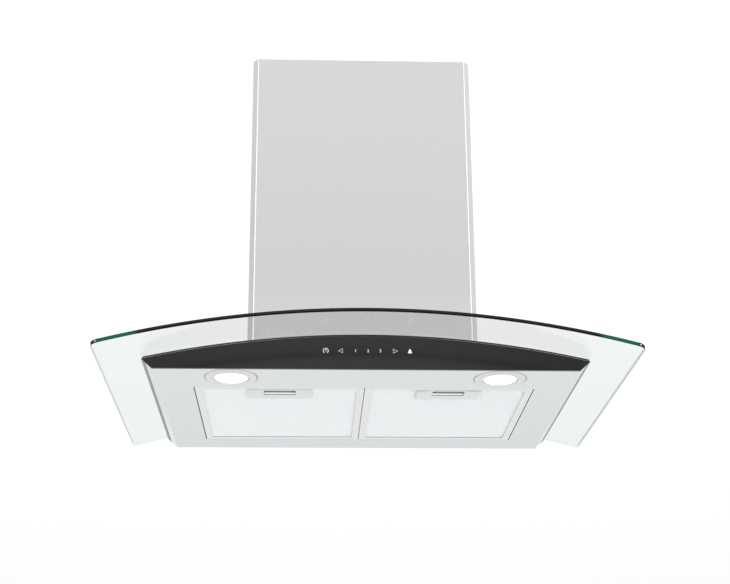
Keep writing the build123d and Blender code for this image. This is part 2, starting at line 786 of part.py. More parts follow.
with BuildSketch() as blade:
    with BuildLine():
        root = polar(root_radius, 0)
        belly = polar(belly_radius, belly_angle)
        tip = polar(tip_radius, blade_sweep)
        back_tip = polar(tip_radius, blade_sweep + blade_angle)
        back_belly = polar(belly_radius, belly_angle + blade_angle)
        back_root = polar(root_radius, blade_angle)
        Polyline(root, belly, tip, back_tip, back_belly, back_root, close=True)
    make_face()

with BuildPart() as impeller:
    with BuildSketch(fan_plane.offset(-blade_span / 2)):
        with PolarLocations(0, blade_count):
            add(blade.sketch)
    extrude(amount=blade_span)
    with BuildSketch(fan_plane.offset(-impeller_ring / 2)):
        Circle(impeller_radius)
        Circle(impeller_bore, mode=Mode.SUBTRACT)
    extrude(amount=impeller_ring)
    for start in (plate_start - lug_height, plate_start + hub_plate_thickness):
        with BuildSketch(fan_plane.offset(start)):
            with PolarLocations(lug_circle_radius, lug_count):
                Rectangle(lug_depth, lug_width)
        extrude(amount=lug_height)
impeller.part.label = "impeller"
export_step(impeller.part, "parts/impeller.step")

for side, word in ((-1, "left"), (1, "right")):
    start = blade_span / 2 if side > 0 else -impeller_width / 2
    with BuildPart() as end_ring:
        with BuildSketch(fan_plane.offset(start)):
            Circle(impeller_radius)
            Circle(impeller_bore, mode=Mode.SUBTRACT)
        extrude(amount=impeller_ring)
    end_ring.part.label = f"impeller_ring_{word}"
    export_step(end_ring.part, f"parts/impeller_ring_{word}.step")

with BuildPart() as impeller_hub:
    with BuildSketch(fan_plane.offset(plate_start)):
        Circle(impeller_bore - hub_plate_gap)
    extrude(amount=hub_plate_thickness)
    with BuildSketch(fan_plane.offset(plate_start)):
        Circle(hub_radius)
    extrude(amount=hub_width)
    with BuildSketch(fan_plane.offset(plate_start)):
        Circle(shaft_radius + shaft_clearance / 2)
    extrude(amount=hub_width, mode=Mode.SUBTRACT)
impeller_hub.part.label = "impeller_hub"
export_step(impeller_hub.part, "parts/impeller_hub.step")

with BuildPart() as motor_shaft:
    with BuildSketch(fan_plane.offset(-motor_end - bracket_thickness)):
        Circle(shaft_radius)
    extrude(amount=motor_end + bracket_thickness + hub_width)
    chamfer(motor_shaft.edges().group_by(Axis.X)[-1], length=shaft_edge)
motor_shaft.part.label = "motor_shaft"
export_step(motor_shaft.part, "parts/motor_shaft.step")

# ---- Motor, its three-armed bracket and the rubber bushes ----
with BuildPart() as motor:
    with BuildSketch(fan_plane.offset(-motor_end)):
        Circle(motor_radius)
    extrude(amount=motor_length)
    chamfer(motor.edges().filter_by(GeomType.CIRCLE), length=motor_edge)
    with BuildSketch(fan_plane.offset(-motor_end)):
        Circle(shaft_radius + shaft_clearance)
    extrude(amount=motor_length, mode=Mode.SUBTRACT)
motor.part.label = "motor"
export_step(motor.part, "parts/motor.step")

with BuildPart() as motor_bracket:
    with BuildSketch(fan_plane.offset(-motor_end)):
        Circle(bracket_disc_radius)
        with PolarLocations(bush_circle_radius / 2, bracket_arms, start_angle=90):
            Rectangle(bush_circle_radius, bracket_arm_width)
        with PolarLocations(bush_circle_radius, bracket_arms, start_angle=90):
            Circle(bracket_arm_width / 2)
        Circle(bracket_bore, mode=Mode.SUBTRACT)
    extrude(amount=-bracket_thickness)
motor_bracket.part.label = "motor_bracket"
export_step(motor_bracket.part, "parts/motor_bracket.step")

with BuildPart() as motor_bushes:
    with BuildSketch(fan_plane.offset(-motor_end)):
        with PolarLocations(bush_circle_radius, bracket_arms, start_angle=90):
            Circle(bush_radius)
    extrude(amount=bush_height)
motor_bushes.part.label = "motor_bushes"
export_step(motor_bushes.part, "parts/motor_bushes.step")

# ---- Capacitor, electronics box, lamp driver and cable gland ----
with BuildPart() as capacitor:
    with BuildSketch(Plane.XY.offset(fan_height - capacitor_height / 2)):
        with Locations((-half_scroll / 2, -box_rear - sheet - part_gap - capacitor_radius)):
            Circle(capacitor_radius)
    extrude(amount=capacitor_height)
capacitor.part.label = "capacitor"
export_step(capacitor.part, "parts/capacitor.step")

with BuildPart() as electronics_box:
    with BuildSketch(Plane.YZ.offset(half_box - sheet)):
        with Locations((-fan_depth, fan_height + electronics_size[2])):
            RectangleRounded(electronics_size[1], electronics_size[2], electronics_corner)
    extrude(amount=-electronics_size[0])
    chamfer(electronics_box.faces().sort_by(Axis.X)[0].edges(), length=electronics_edge)
electronics_box.part.label = "electronics_box"
export_step(electronics_box.part, "parts/electronics_box.step")

with BuildPart() as lamp_driver:
    with BuildSketch(Plane.XY.offset(sheet)):
        with Locations(((bay_width / 2 + sheet + half_floor) / 2, -(bay_front + bay_rear) / 2)):
            RectangleRounded(driver_size[0], driver_size[1], driver_corner)
    extrude(amount=driver_size[2])
    chamfer(lamp_driver.faces().sort_by(Axis.Z)[-1].edges(), length=driver_edge)
lamp_driver.part.label = "lamp_driver"
export_step(lamp_driver.part, "parts/lamp_driver.step")

gland_place = (half_box - 3 * gland_radius / 2, -box_rear - 3 * gland_radius)
with BuildPart() as cable_gland:
    with BuildSketch(Plane.XY.offset(box_top)):
        with Locations(gland_place):
            RegularPolygon(gland_radius, 6)
    extrude(amount=gland_height / 2)
    with BuildSketch(Plane.XY.offset(box_top + gland_height / 2)):
        with Locations(gland_place):
            Circle(gland_nut_radius)
    extrude(amount=gland_height / 2, taper=gland_nut_taper)
    with BuildSketch(Plane.XY.offset(box_top)):
        with Locations(gland_place):
            Circle(gland_bore)
    extrude(amount=gland_height, mode=Mode.SUBTRACT)
cable_gland.part.label = "cable_gland"
export_step(cable_gland.part, "parts/cable_gland.step")

# ---- Duct collar ----
collar_inner = collar_radius - collar_wall
pin_z = box_top + stop_height + stop_thickness + knuckle_radius
collar_plane = Plane(origin=(0, -collar_depth, box_top))

with BuildPart() as duct_collar:
    with BuildSketch(collar_plane):
        RectangleRounded(collar_flange, collar_flange, collar_flange_corner)
        Circle(collar_inner, mode=Mode.SUBTRACT)
    extrude(amount=collar_flange_thickness)
    with BuildSketch(collar_plane):
        Circle(collar_radius)
        Circle(collar_inner, mode=Mode.SUBTRACT)
    extrude(amount=collar_height)
    with BuildSketch(collar_plane.offset(stop_height)):
        Circle(collar_radius)
        Circle(collar_inner - stop_width, mode=Mode.SUBTRACT)
    extrude(amount=stop_thickness)
    with BuildSketch(Plane.YZ):
        with Locations((-collar_depth, pin_z)):
            Circle(pin_radius + pin_clearance)
    extrude(amount=collar_radius + 1, both=True, mode=Mode.SUBTRACT)
duct_collar.part.label = "duct_collar"
export_step(duct_collar.part, "parts/duct_collar.step")

with BuildPart() as damper_pin:
    with BuildSketch(Plane.YZ):
        with Locations((-collar_depth, pin_z)):
            Circle(pin_radius)
    extrude(amount=collar_radius - part_gap, both=True)
damper_pin.part.label = "damper_pin"
export_step(damper_pin.part, "parts/damper_pin.step")

# ---- Damper flaps: two half discs whose knuckles take turns along the pin ----
flap_low = box_top + stop_height + stop_thickness + damper_gap
flap_radius = collar_inner - damper_side_gap
knuckle_pitch = knuckle_length + knuckle_gap

for side, word, first in ((-1, "front", -2), (1, "rear", -1)):
    starts = [turn * knuckle_pitch + knuckle_gap / 2 for turn in (first, first + 2)]
    with BuildPart() as damper:
        with BuildSketch(Plane.XY.offset(flap_low)):
            with Locations((0, -collar_depth)):
                Circle(flap_radius)
            with Locations((0, side * (flap_radius + damper_root) - collar_depth)):
                Rectangle(2 * flap_radius, 2 * flap_radius, mode=Mode.INTERSECT)
            for start in starts:
                with Locations((start + knuckle_length / 2, side * damper_root / 2 - collar_depth)):
                    Rectangle(knuckle_length, damper_root)
        extrude(amount=damper_thickness)
        for start in starts:
            with BuildSketch(Plane.YZ.offset(start)):
                with Locations((-collar_depth, pin_z)):
                    Circle(knuckle_radius)
            extrude(amount=knuckle_length)
        with BuildSketch(Plane.YZ):
            with Locations((-collar_depth, pin_z)):
                Circle(pin_radius + pin_clearance)
        extrude(amount=flap_radius, both=True, mode=Mode.SUBTRACT)
    damper.part.label = f"damper_{word}"
    export_step(damper.part, f"parts/damper_{word}.step")

# ---- Chimney: lower cover stands on the glass, upper cover slides in it ----
with BuildPart() as chimney_lower:
    with BuildSketch(Plane.XY):
        add(chimney_plan(chimney_half, chimney_depth, chimney_rear_gap, sheet))
    extrude(amount=chimney_top)
    with BuildSketch(Plane.XZ):
        add(under_arch(chimney_half + 1, glass_thickness + part_gap, -1))
    extrude(amount=chimney_depth, mode=Mode.SUBTRACT)
chimney_lower.part.label = "chimney_lower"
export_step(chimney_lower.part, "parts/chimney_lower.step")

upper_rear = chimney_rear_gap + sheet + chimney_slide_gap
with BuildPart() as chimney_upper:
    with BuildSketch(Plane.XY.offset(upper_bottom)):
        add(chimney_plan(upper_half, upper_depth, upper_rear, sheet))
    extrude(amount=upper_top - upper_bottom)
    with BuildSketch(Plane.YZ):
        with Locations((-upper_depth / 2, upper_top - vent_count * vent_pitch)):
            with GridLocations(1, vent_pitch, 1, vent_count):
                Rectangle(vent_length, vent_height)
    extrude(amount=chimney_half, both=True, mode=Mode.SUBTRACT)
chimney_upper.part.label = "chimney_upper"
export_step(chimney_upper.part, "parts/chimney_upper.step")

# ---- Wall bracket of the upper cover: a folded strip, screwed to the wall at its middle ----
arm_x = upper_half - sheet - part_gap
step_rear = upper_rear + sheet + bracket_step_gap + part_gap

with BuildPart() as chimney_bracket:
    with BuildSketch(Plane.XY.offset(upper_top - bracket_drop - bracket_height)):
        with BuildLine():
            Polyline(
                (-arm_x, -step_rear - bracket_arm), (-arm_x, -step_rear),
                (-bracket_half_width, -step_rear), (-bracket_half_width, 0),
                (bracket_half_width, 0), (bracket_half_width, -step_rear),
                (arm_x, -step_rear), (arm_x, -step_rear - bracket_arm),
                (arm_x - bracket_sheet, -step_rear - bracket_arm),
                (arm_x - bracket_sheet, -step_rear - bracket_sheet),
                (bracket_half_width - bracket_sheet, -step_rear - bracket_sheet),
                (bracket_half_width - bracket_sheet, -bracket_sheet),
                (bracket_sheet - bracket_half_width, -bracket_sheet),
                (bracket_sheet - bracket_half_width, -step_rear - bracket_sheet),
                (bracket_sheet - arm_x, -step_rear - bracket_sheet),
                (bracket_sheet - arm_x, -step_rear - bracket_arm),
                close=True,
            )
        make_face()
    extrude(amount=bracket_height)
    with BuildSketch(Plane.XZ):
        with Locations((0, upper_top - bracket_drop - bracket_height / 2)):
            with GridLocations(2 * bracket_screw_x, 1, 2, 1):
                Circle(bracket_screw_radius)
    extrude(amount=bracket_sheet, mode=Mode.SUBTRACT)
chimney_bracket.part.label = "chimney_bracket"
export_step(chimney_bracket.part, "parts/chimney_bracket.step")

# ---- Clips between the motor box and the lower cover ----
with BuildPart() as chimney_clips:
    for side in (-1, 1):
        with BuildSketch(Plane.XZ.offset(box_front / 2)):
            with BuildLine():
                Polyline(
                    (side * half_box, clip_base), (side * (half_box + bracket_sheet), clip_base),
                    (side * (half_box + bracket_sheet), clip_base + clip_height - bracket_sheet),
                    (side * (chimney_half - sheet - bracket_sheet), clip_base + clip_height - bracket_sheet),
                    (side * (chimney_half - sheet - bracket_sheet), clip_base),
                    (side * (chimney_half - sheet), clip_base),
                    (side * (chimney_half - sheet), clip_base + clip_height),
                    (side * half_box, clip_base + clip_height), close=True,
                )
            make_face()
        extrude(amount=clip_length)
chimney_clips.part.label = "chimney_clips"
export_step(chimney_clips.part, "parts/chimney_clips.step")
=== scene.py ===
import json
import math

import bmesh
import bpy
from mathutils import Matrix, Vector


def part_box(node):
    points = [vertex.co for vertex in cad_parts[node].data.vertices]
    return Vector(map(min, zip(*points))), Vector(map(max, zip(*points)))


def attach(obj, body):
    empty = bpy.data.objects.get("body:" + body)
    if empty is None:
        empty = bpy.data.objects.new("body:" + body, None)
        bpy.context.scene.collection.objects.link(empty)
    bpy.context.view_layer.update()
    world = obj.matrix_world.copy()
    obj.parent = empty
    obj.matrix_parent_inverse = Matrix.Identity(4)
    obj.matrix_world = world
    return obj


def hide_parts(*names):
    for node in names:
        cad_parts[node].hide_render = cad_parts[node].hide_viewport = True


# Arched-glass chimney hood. Metres, +Z up, the wall at Y = 0 and the front towards -Y.

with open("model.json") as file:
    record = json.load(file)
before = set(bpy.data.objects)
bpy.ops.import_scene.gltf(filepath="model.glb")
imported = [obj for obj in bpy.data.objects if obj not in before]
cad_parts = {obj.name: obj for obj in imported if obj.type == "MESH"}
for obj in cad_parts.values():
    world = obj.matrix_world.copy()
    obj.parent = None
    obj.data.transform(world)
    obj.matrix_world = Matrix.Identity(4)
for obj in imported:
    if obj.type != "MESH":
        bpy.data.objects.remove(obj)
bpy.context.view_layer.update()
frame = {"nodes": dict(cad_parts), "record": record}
nodes = frame["nodes"]
SIDES = ((-1, "left"), (1, "right"))

# ---- Sizes read from the frame ----
glass_low, glass_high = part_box("glass_canopy")
glass_thickness = 0.005
half_glass = glass_high.x
arch_sag = glass_high.z - glass_thickness - glass_low.z
arch_radius = (half_glass**2 + arch_sag**2) / (2 * arch_sag)
arch_centre = glass_high.z - glass_thickness - arch_radius
box_low, box_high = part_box("motor_box")
panel_low, panel_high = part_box("control_panel")
lens_low, lens_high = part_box("lamp_lens_right")
lens_middle = (lens_low + lens_high) / 2
lens_radius = (lens_high.x - lens_low.x) / 2

# ---- Sizes of the finish ----
notch_gap = 0.003
notch_corner = 0.008
glass_corner = 0.010
glass_hole = 0.005
glass_arris = 0.0003
merge_distance = 0.000002
flat_angle = math.radians(0.5)
bend_angle = math.radians(24)       # edges flatter than this are facets of a round surface
rim_angle = math.radians(60)        # edges sharper than this are rims, the rest are folds
smooth_angle = math.radians(32)
arris_angle = math.radians(50)
screw_head_radius = 0.004
lying_gap = 0.00002         # between a face and the piece that lies on it


def arch_height(x, above=0.0):
    """Height of the arc that runs `above` over the glass's lower face."""
    return arch_centre + math.sqrt((arch_radius + above) ** 2 - x**2)


# ==== Shader expressions ====

class Value:
    """A shader socket that takes part in plain arithmetic."""

    def __init__(self, finish, socket):
        self.finish = finish
        self.socket = socket

    def maths(self, operation, first, second):
        return self.finish.node("ShaderNodeMath", {"operation": operation}, {0: first, 1: second})

    def __add__(self, other):
        return self.maths("ADD", self, other)

    def __sub__(self, other):
        return self.maths("SUBTRACT", self, other)

    def __rsub__(self, other):
        return self.maths("SUBTRACT", other, self)

    def __mul__(self, other):
        return self.maths("MULTIPLY", self, other)

    def __pow__(self, other):
        return self.maths("POWER", self, other)

    def __gt__(self, other):
        return self.maths("GREATER_THAN", self, other)

    __radd__ = __add__


class Finish:
    """The shader nodes of a material, or of the surroundings, written as expressions."""

    def __init__(self, owner, coordinates="Object"):
        self.owner = owner
        self.coordinates = coordinates
        owner.use_nodes = True
        self.tree = owner.node_tree
        self.tree.nodes.clear()

    def node(self, kind, settings=None, sockets=None, output=0):
        """Any node: its type, its settings, the values or links of its sockets, and the output read."""
        made = self.tree.nodes.new(kind)
        for name, setting in (settings or {}).items():
            if name == "stops":
                ramp = made.color_ramp
                while len(ramp.elements) < len(setting):
                    ramp.elements.new(0.5)
                for element, (position, colour) in zip(ramp.elements, setting):
                    element.position = position
                    element.color = colour
            else:
                setattr(made, name, setting)
        for name, value in (sockets or {}).items():
            if isinstance(value, Value):
                self.tree.links.new(value.socket, made.inputs[name])
            else:
                made.inputs[name].default_value = value
        return Value(self, made.outputs[output])

    def place(self):
        return self.node("ShaderNodeTexCoord", output=self.coordinates)

    def axis(self, name):
        return self.node("ShaderNodeSeparateXYZ", sockets={0: self.place()}, output=name)

    def aside(self):
        """Distance from the middle of the hood, to either side."""
        return self.node("ShaderNodeMath", {"operation": "ABSOLUTE"}, {0: self.axis("X")})

    def span(self, value, start, end, low=0.0, high=1.0):
        """`low` up to the start, `high` from the end, and an even change between them."""
        return self.node("ShaderNodeMapRange", {"clamp": True}, {
            "Value": value, "From Min": start, "From Max": end, "To Min": low, "To Max": high,
        })

    def stretched(self, scale):
        return self.node("ShaderNodeMapping", sockets={"Vector": self.place(), "Scale": scale})

    def noise(self, scale, detail=3.0, stretch=(1, 1, 1)):
        sockets = {"Vector": self.stretched(stretch), "Scale": scale, "Detail": detail}
        return self.node("ShaderNodeTexNoise", sockets=sockets)

    def cells(self, scale, feature="F1", output="Distance"):
        sockets = {"Vector": self.place(), "Scale": scale}
        return self.node("ShaderNodeTexVoronoi", {"feature": feature}, sockets, output)

    def attribute(self, name):
        return self.node("ShaderNodeAttribute", {"attribute_name": name}, output="Fac")

    def ramp(self, value, *stops):
        return self.node("ShaderNodeValToRGB", {"stops": stops}, {0: value})

    def mix(self, factor, first, second):
        return self.node("ShaderNodeMix", {"data_type": "RGBA"}, {0: factor, 6: first, 7: second}, 2)

    def bump(self, height, strength, distance):
        sockets = {"Strength": strength, "Distance": distance, "Height": height}
        return self.node("ShaderNodeBump", sockets=sockets)

    def principled(self, **sockets):
        named = {name.replace("_", " "): value for name, value in sockets.items()}
        return self.node("ShaderNodeBsdfPrincipled", sockets=named)

    def finished(self, shader, output="ShaderNodeOutputMaterial"):
        made = self.tree.nodes.new(output)
        self.tree.links.new(shader.socket, made.inputs["Surface"])
        return self.owner


def new_finish(name):
    """The empty shader tree of a new material."""
    return Finish(bpy.data.materials.new(name))


def grey(level, warmth=0.0):
    """A neutral colour, a little warmer or colder."""
    return (level * (1 + warmth), level, level * (1 - warmth), 1.0)


def tinted(level, tint):
    """A colour of the given tint, scaled by a level."""
    return (*(level * part for part in tint), 1.0)


# ==== Materials ====

def brushed_steel(name, level, grain, rough=0.27, tint=(1.0, 1.0, 1.0), painted_light_zones=()):
    """Fine hairlines along one axis, with slow clouds in the tone and the shine.

    Each zone of painted light is the axis, the place where it starts, where it is full, and the tone it
    leads to: darker for painted shade, lighter for a painted highlight.
    """
    hair_width = 1 / 2600
    hair_length = 1 / 14
    stretch = [1 / hair_width] * 3
    stretch["xyz".index(grain)] = 1 / hair_length
    finish = new_finish(name)
    hair = finish.noise(1.0, 4.0, stretch)
    cloud = finish.noise(5.0, 2.0)
    shade = hair * 0.55 + cloud * 0.45
    colour = finish.mix(shade, tinted(level * 0.994, tint), tinted(level * 1.006, tint))
    # painted light: each zone shifts the steel towards a darker or lighter tone along one axis
    for axis, start, full, tone in painted_light_zones:
        painted_light_place = finish.aside() if axis == "X" else finish.axis(axis)
        colour = finish.mix(finish.span(painted_light_place, start, full), colour, tinted(tone, tint))
    roughness = rough + (hair - 0.5) * 0.04 + (cloud - 0.5) * 0.04
    return finish.finished(finish.principled(
        Base_Color=colour, Metallic=1.0, Roughness=roughness,
        Normal=finish.bump(hair, 0.006, 0.000005),
    ))


def galvanised_steel(name):
    """Zinc spangle: flat grey crystals of uneven tone."""
    finish = new_finish(name)
    crystal = finish.cells(160.0, output="Color")
    tone = finish.node("ShaderNodeSeparateXYZ", sockets={0: crystal}, output="X")
    fine = finish.noise(700.0, 3.0)
    colour = finish.mix(tone * 0.8 + fine * 0.2, grey(0.46, -0.02), grey(0.66, -0.02))
    return finish.finished(finish.principled(
        Base_Color=colour, Metallic=1.0, Roughness=0.36 + tone * 0.14,
        Normal=finish.bump(tone + fine * 0.4, 0.12, 0.0001),
    ))


def satin_aluminium(name, level, rough=0.42):
    """Rolled aluminium sheet with faint rolling marks."""
    finish = new_finish(name)
    roll = finish.noise(1.0, 3.0, (30, 700, 700))
    speck = finish.noise(1400.0, 2.0)
    colour = finish.mix(roll * 0.5 + speck * 0.5, grey(level * 0.96, -0.006), grey(level * 1.03, -0.006))
    return finish.finished(finish.principled(
        Base_Color=colour, Metallic=1.0, Roughness=rough + (roll - 0.5) * 0.12,
        Normal=finish.bump(speck, 0.10, 0.00005),
    ))


def mesh_aluminium_glowing(name):
    """Bright aluminium wire, dulled in patches, with a faint painted glow."""
    finish = new_finish(name)
    patch = finish.noise(900.0, 2.0)
    colour = finish.mix(patch, (0.885, 0.915, 0.925, 1), (0.925, 0.955, 0.96, 1))
    return finish.finished(finish.principled(
        Base_Color=colour, Metallic=0.06, Roughness=0.46 + patch * 0.2,
        # painted light: the wire glows faintly in its own colour, though it is no lamp
        Emission_Color=colour, Emission_Strength=0.08,
        Normal=finish.bump(patch, 0.15, 0.0001),
    ))


def moulded_plastic(name, colour, rough=0.45, grain=900.0):
    """Fine spark-eroded grain with slightly shinier high spots."""
    finish = new_finish(name)
    leather = finish.cells(grain, "SMOOTH_F1")
    cloud = finish.noise(14.0, 3.0)
    return finish.finished(finish.principled(
        Base_Color=finish.mix(cloud, tinted(0.88, colour), tinted(1.10, colour)),
        Roughness=rough + (cloud - 0.5) * 0.12,
        Normal=finish.bump(leather, 0.18, 0.00012),
    ))


def seal_rubber(name, level=0.23):
    """Matt rubber with dust in its skin."""
    finish = new_finish(name)
    dust = finish.noise(60.0, 5.0)
    skin = finish.noise(2200.0, 2.0)
    return finish.finished(finish.principled(
        Base_Color=finish.mix(dust, grey(level * 0.85), grey(level * 1.15)),
        Roughness=0.62 + (dust - 0.5) * 0.2, Specular_IOR_Level=0.35,
        Normal=finish.bump(skin, 0.2, 0.0001),
    ))


def seal_with_painted_shade(name):
    """Thin seal round a lamp, grey with a little dust in front and behind, near black at its left and right
    as painted shade.
    """
    finish = new_finish(name)
    dust = finish.noise(60.0, 5.0)
    outward = finish.axis("Y") - lens_middle.y
    # painted shade: near black where the seal lies beside the lamp, grey in front of it and behind it
    painted_shade_mask = finish.span(outward * outward, 0.00006, 0.00036)
    return finish.finished(finish.principled(
        Base_Color=finish.mix(painted_shade_mask * 0.92 + dust * 0.08, grey(0.16), grey(0.52)),
        Roughness=0.6 + (dust - 0.5) * 0.2,
    ))


def foam(name):
    """Closed-cell foam: a skin of small pores."""
    finish = new_finish(name)
    pore = finish.cells(1100.0)
    return finish.finished(finish.principled(
        Base_Color=finish.mix(pore, grey(0.02), grey(0.07)), Roughness=0.9,
        Normal=finish.bump(pore, 0.5, 0.0003),
    ))


def black_panel_glass(name):
    """Back-painted black glass with a polished face and faint random haze, paler towards the middle and
    darkest at its right end as a painted reflection.
    """
    finish = new_finish(name)
    haze = finish.noise(9.0, 4.0)
    speck = finish.noise(600.0, 2.0)
    # painted reflection: the black is paler towards the middle and darker at both ends
    painted_light_place = finish.span(finish.axis("X"), -0.3, 0.3)
    base = finish.ramp(
        painted_light_place, (0.0, (0.0075, 0.0082, 0.0070, 1)), (0.30, (0.0165, 0.0168, 0.0148, 1)),
        (0.62, (0.0155, 0.0158, 0.0140, 1)), (0.95, (0.0042, 0.0048, 0.0040, 1)),
    )
    return finish.finished(finish.principled(
        Base_Color=finish.mix(haze * 0.25, base, (0.010, 0.010, 0.009, 1)),
        Roughness=0.15 + haze * 0.05, IOR=1.5, Specular_IOR_Level=0.36,
        Normal=finish.bump(speck, 0.01, 0.00002),
    ))


def ground_arris_highlight(name):
    """Ground edge of the black glass, near black in the middle and pale towards its ends as a painted
    highlight.
    """
    finish = new_finish(name)
    grind = finish.noise(900.0, 3.0)
    # painted highlight: the edge grows pale towards both ends
    level = finish.span(finish.aside(), 0.03, 0.16)
    return finish.finished(finish.principled(
        Base_Color=finish.mix(level * 0.85 + grind * 0.15, (0.05, 0.05, 0.048, 1), (0.62, 0.64, 0.63, 1)),
        Roughness=0.42 + grind * 0.15, Normal=finish.bump(grind, 0.1, 0.00005),
    ))


def clear_glass(name):
    """Faces of the arched sheet: nearly clear, mirroring more at a low angle."""
    finish = new_finish(name)
    tint = (0.915, 0.925, 0.922, 1)
    sheen = (0.84, 1.0, 1.0, 1)
    mirror_straight = 0.042
    mirror_low = 0.50
    facing = finish.node("ShaderNodeLayerWeight", sockets={"Blend": 0.5}, output="Facing")
    smear = finish.noise(7.0, 4.0)
    mirror = mirror_straight + facing**8.0 * mirror_low + (smear - 0.5) * 0.006
    passing = finish.node("ShaderNodeBsdfTransparent", sockets={"Color": tint})
    gloss = finish.node("ShaderNodeBsdfGlossy", sockets={
        "Color": sheen, "Roughness": 0.015 + smear * 0.02,
    })
    return finish.finished(finish.node(
        "ShaderNodeMixShader", sockets={0: mirror, 1: passing, 2: gloss},
    ))


def sheet_edge_painted_light(name):
    """Polished edge: near black along the front with a lighter upper half as painted reflection, bottle
    green by the corners with a small painted highlight spot, pale at sides and rear as painted light through
    the sheet.
    """
    finish = new_finish(name)
    green_start = half_glass - 0.057
    green_end = half_glass - 0.0095
    highlight_spot_start = half_glass - 0.0086
    highlight_spot_end = half_glass - 0.0060
    rear_band = 0.004
    x = finish.aside()
    y = finish.axis("Y")
    side = finish.span(x, green_start - 0.003, green_start + 0.003)
    corner = finish.span(x, green_end - 0.002, green_end + 0.001)
    behind = finish.span(y, glass_low.y + glass_corner * 0.6, glass_low.y + glass_corner * 1.2)
    rear = y > -rear_band
    across = finish.attribute("across")
    streak = finish.noise(1.0, 3.0, (40, 40, 900))
    # painted reflection: the front edge is lighter along its upper half
    dark = finish.mix(
        finish.ramp(across, (0.34, grey(0.0)), (0.50, grey(1.0))),
        (0.0010, 0.0014, 0.0010, 1), (0.019, 0.021, 0.0175, 1),
    )
    green = finish.mix(streak * 0.6 + across * 0.4, (0.003, 0.062, 0.040, 1), (0.018, 0.134, 0.090, 1))
    # painted highlight: a small light spot near each front corner
    painted_highlight_spot = (
        (x > highlight_spot_start) * (highlight_spot_end - x > 0.0) * (across > 0.42) * (0.62 - across > 0.0)
    )
    front = finish.mix(corner, finish.mix(side, dark, green), (0.010, 0.014, 0.012, 1))
    front = finish.mix(painted_highlight_spot, front, grey(0.75))
    # painted light: the sides and the rear are pale, as if lit through the sheet
    sides = finish.mix(streak, (0.53, 0.55, 0.545, 1), (0.64, 0.66, 0.655, 1))
    pale = finish.mix(streak, (0.74, 0.80, 0.79, 1), (0.82, 0.88, 0.87, 1))
    colour = finish.mix(rear, finish.mix(behind, front, sides), pale)
    solid = finish.principled(
        Base_Color=colour, Roughness=0.10 + streak * 0.08, Specular_IOR_Level=0.09,
        Normal=finish.bump(streak, 0.04, 0.00005),
    )
    through = finish.node("ShaderNodeBsdfTransparent", sockets={"Color": (0.95, 0.985, 0.975, 1)})
    return finish.finished(finish.node("ShaderNodeMixShader", sockets={0: rear * 0.7, 1: solid, 2: through}))


def lamp_light(name):
    """Frosted lens lit from behind, dull where it sits in its ring."""
    finish = new_finish(name)
    frost = finish.noise(500.0, 3.0)
    outward = finish.aside() - lens_middle.x
    rearward = finish.axis("Y") - lens_middle.y
    radius = (outward * outward + rearward * rearward) ** 0.5
    lit = finish.span(radius, lens_radius - 0.0018, lens_radius - 0.0011, 1.0, 0.0)
    glow = finish.mix(frost, (0.98, 1.0, 1.0, 1), (1.0, 1.0, 0.99, 1))
    return finish.finished(finish.principled(
        Base_Color=finish.mix(lit, grey(0.70), finish.mix(frost, grey(0.86), grey(0.94))), Roughness=0.5,
        Emission_Color=finish.mix(lit, grey(0.0), glow), Emission_Strength=1.6,
        Normal=finish.bump(frost, 0.1, 0.0001),
    ))


def printed_white(name):
    """Screen-printed marks that glow faintly from behind."""
    finish = new_finish(name)
    grain = finish.noise(1500.0, 2.0)
    return finish.finished(finish.principled(
        Base_Color=finish.mix(grain, grey(0.70), grey(0.86)), Roughness=0.5,
        Emission_Color=finish.mix(grain, grey(0.8), grey(1.0)), Emission_Strength=0.25,
    ))


def circuit_board(name):
    """Green lacquer over copper lines."""
    finish = new_finish(name)
    wave = finish.node("ShaderNodeTexWave", {"wave_type": "BANDS", "bands_direction": "X"}, {
        "Vector": finish.place(), "Scale": 170.0, "Distortion": 6.0, "Detail": 1.0,
    }, "Fac")
    line = wave > 0.72
    return finish.finished(finish.principled(
        Base_Color=finish.mix(line, (0.010, 0.085, 0.030, 1), (0.03, 0.16, 0.06, 1)),
        Roughness=0.30 + line * 0.08, Coat_Weight=0.4,
        Normal=finish.bump(wave, 0.1, 0.0001),
    ))


def motor_paint(name):
    """Grey stove enamel with light orange peel."""
    finish = new_finish(name)
    peel = finish.noise(420.0, 2.0)
    return finish.finished(finish.principled(
        Base_Color=finish.mix(peel, grey(0.048, -0.04), grey(0.075, -0.04)),
        Roughness=0.38 + (peel - 0.5) * 0.1, Normal=finish.bump(peel, 0.15, 0.0003),
    ))


def zinc_screw(name):
    """Zinc-plated turned steel."""
    finish = new_finish(name)
    turn = finish.noise(1.0, 3.0, (300, 300, 2400))
    return finish.finished(finish.principled(
        Base_Color=finish.mix(turn, grey(0.55), grey(0.78)), Metallic=1.0,
        Roughness=0.24 + turn * 0.12, Normal=finish.bump(turn, 0.1, 0.00005),
    ))


def studio_floor(name):
    """Pale studio paper with a faint mottle."""
    finish = new_finish(name)
    mottle = finish.noise(1.5, 3.0)
    return finish.finished(finish.principled(
        Base_Color=finish.mix(mottle, grey(0.86), grey(0.90)), Roughness=0.9,
    ))


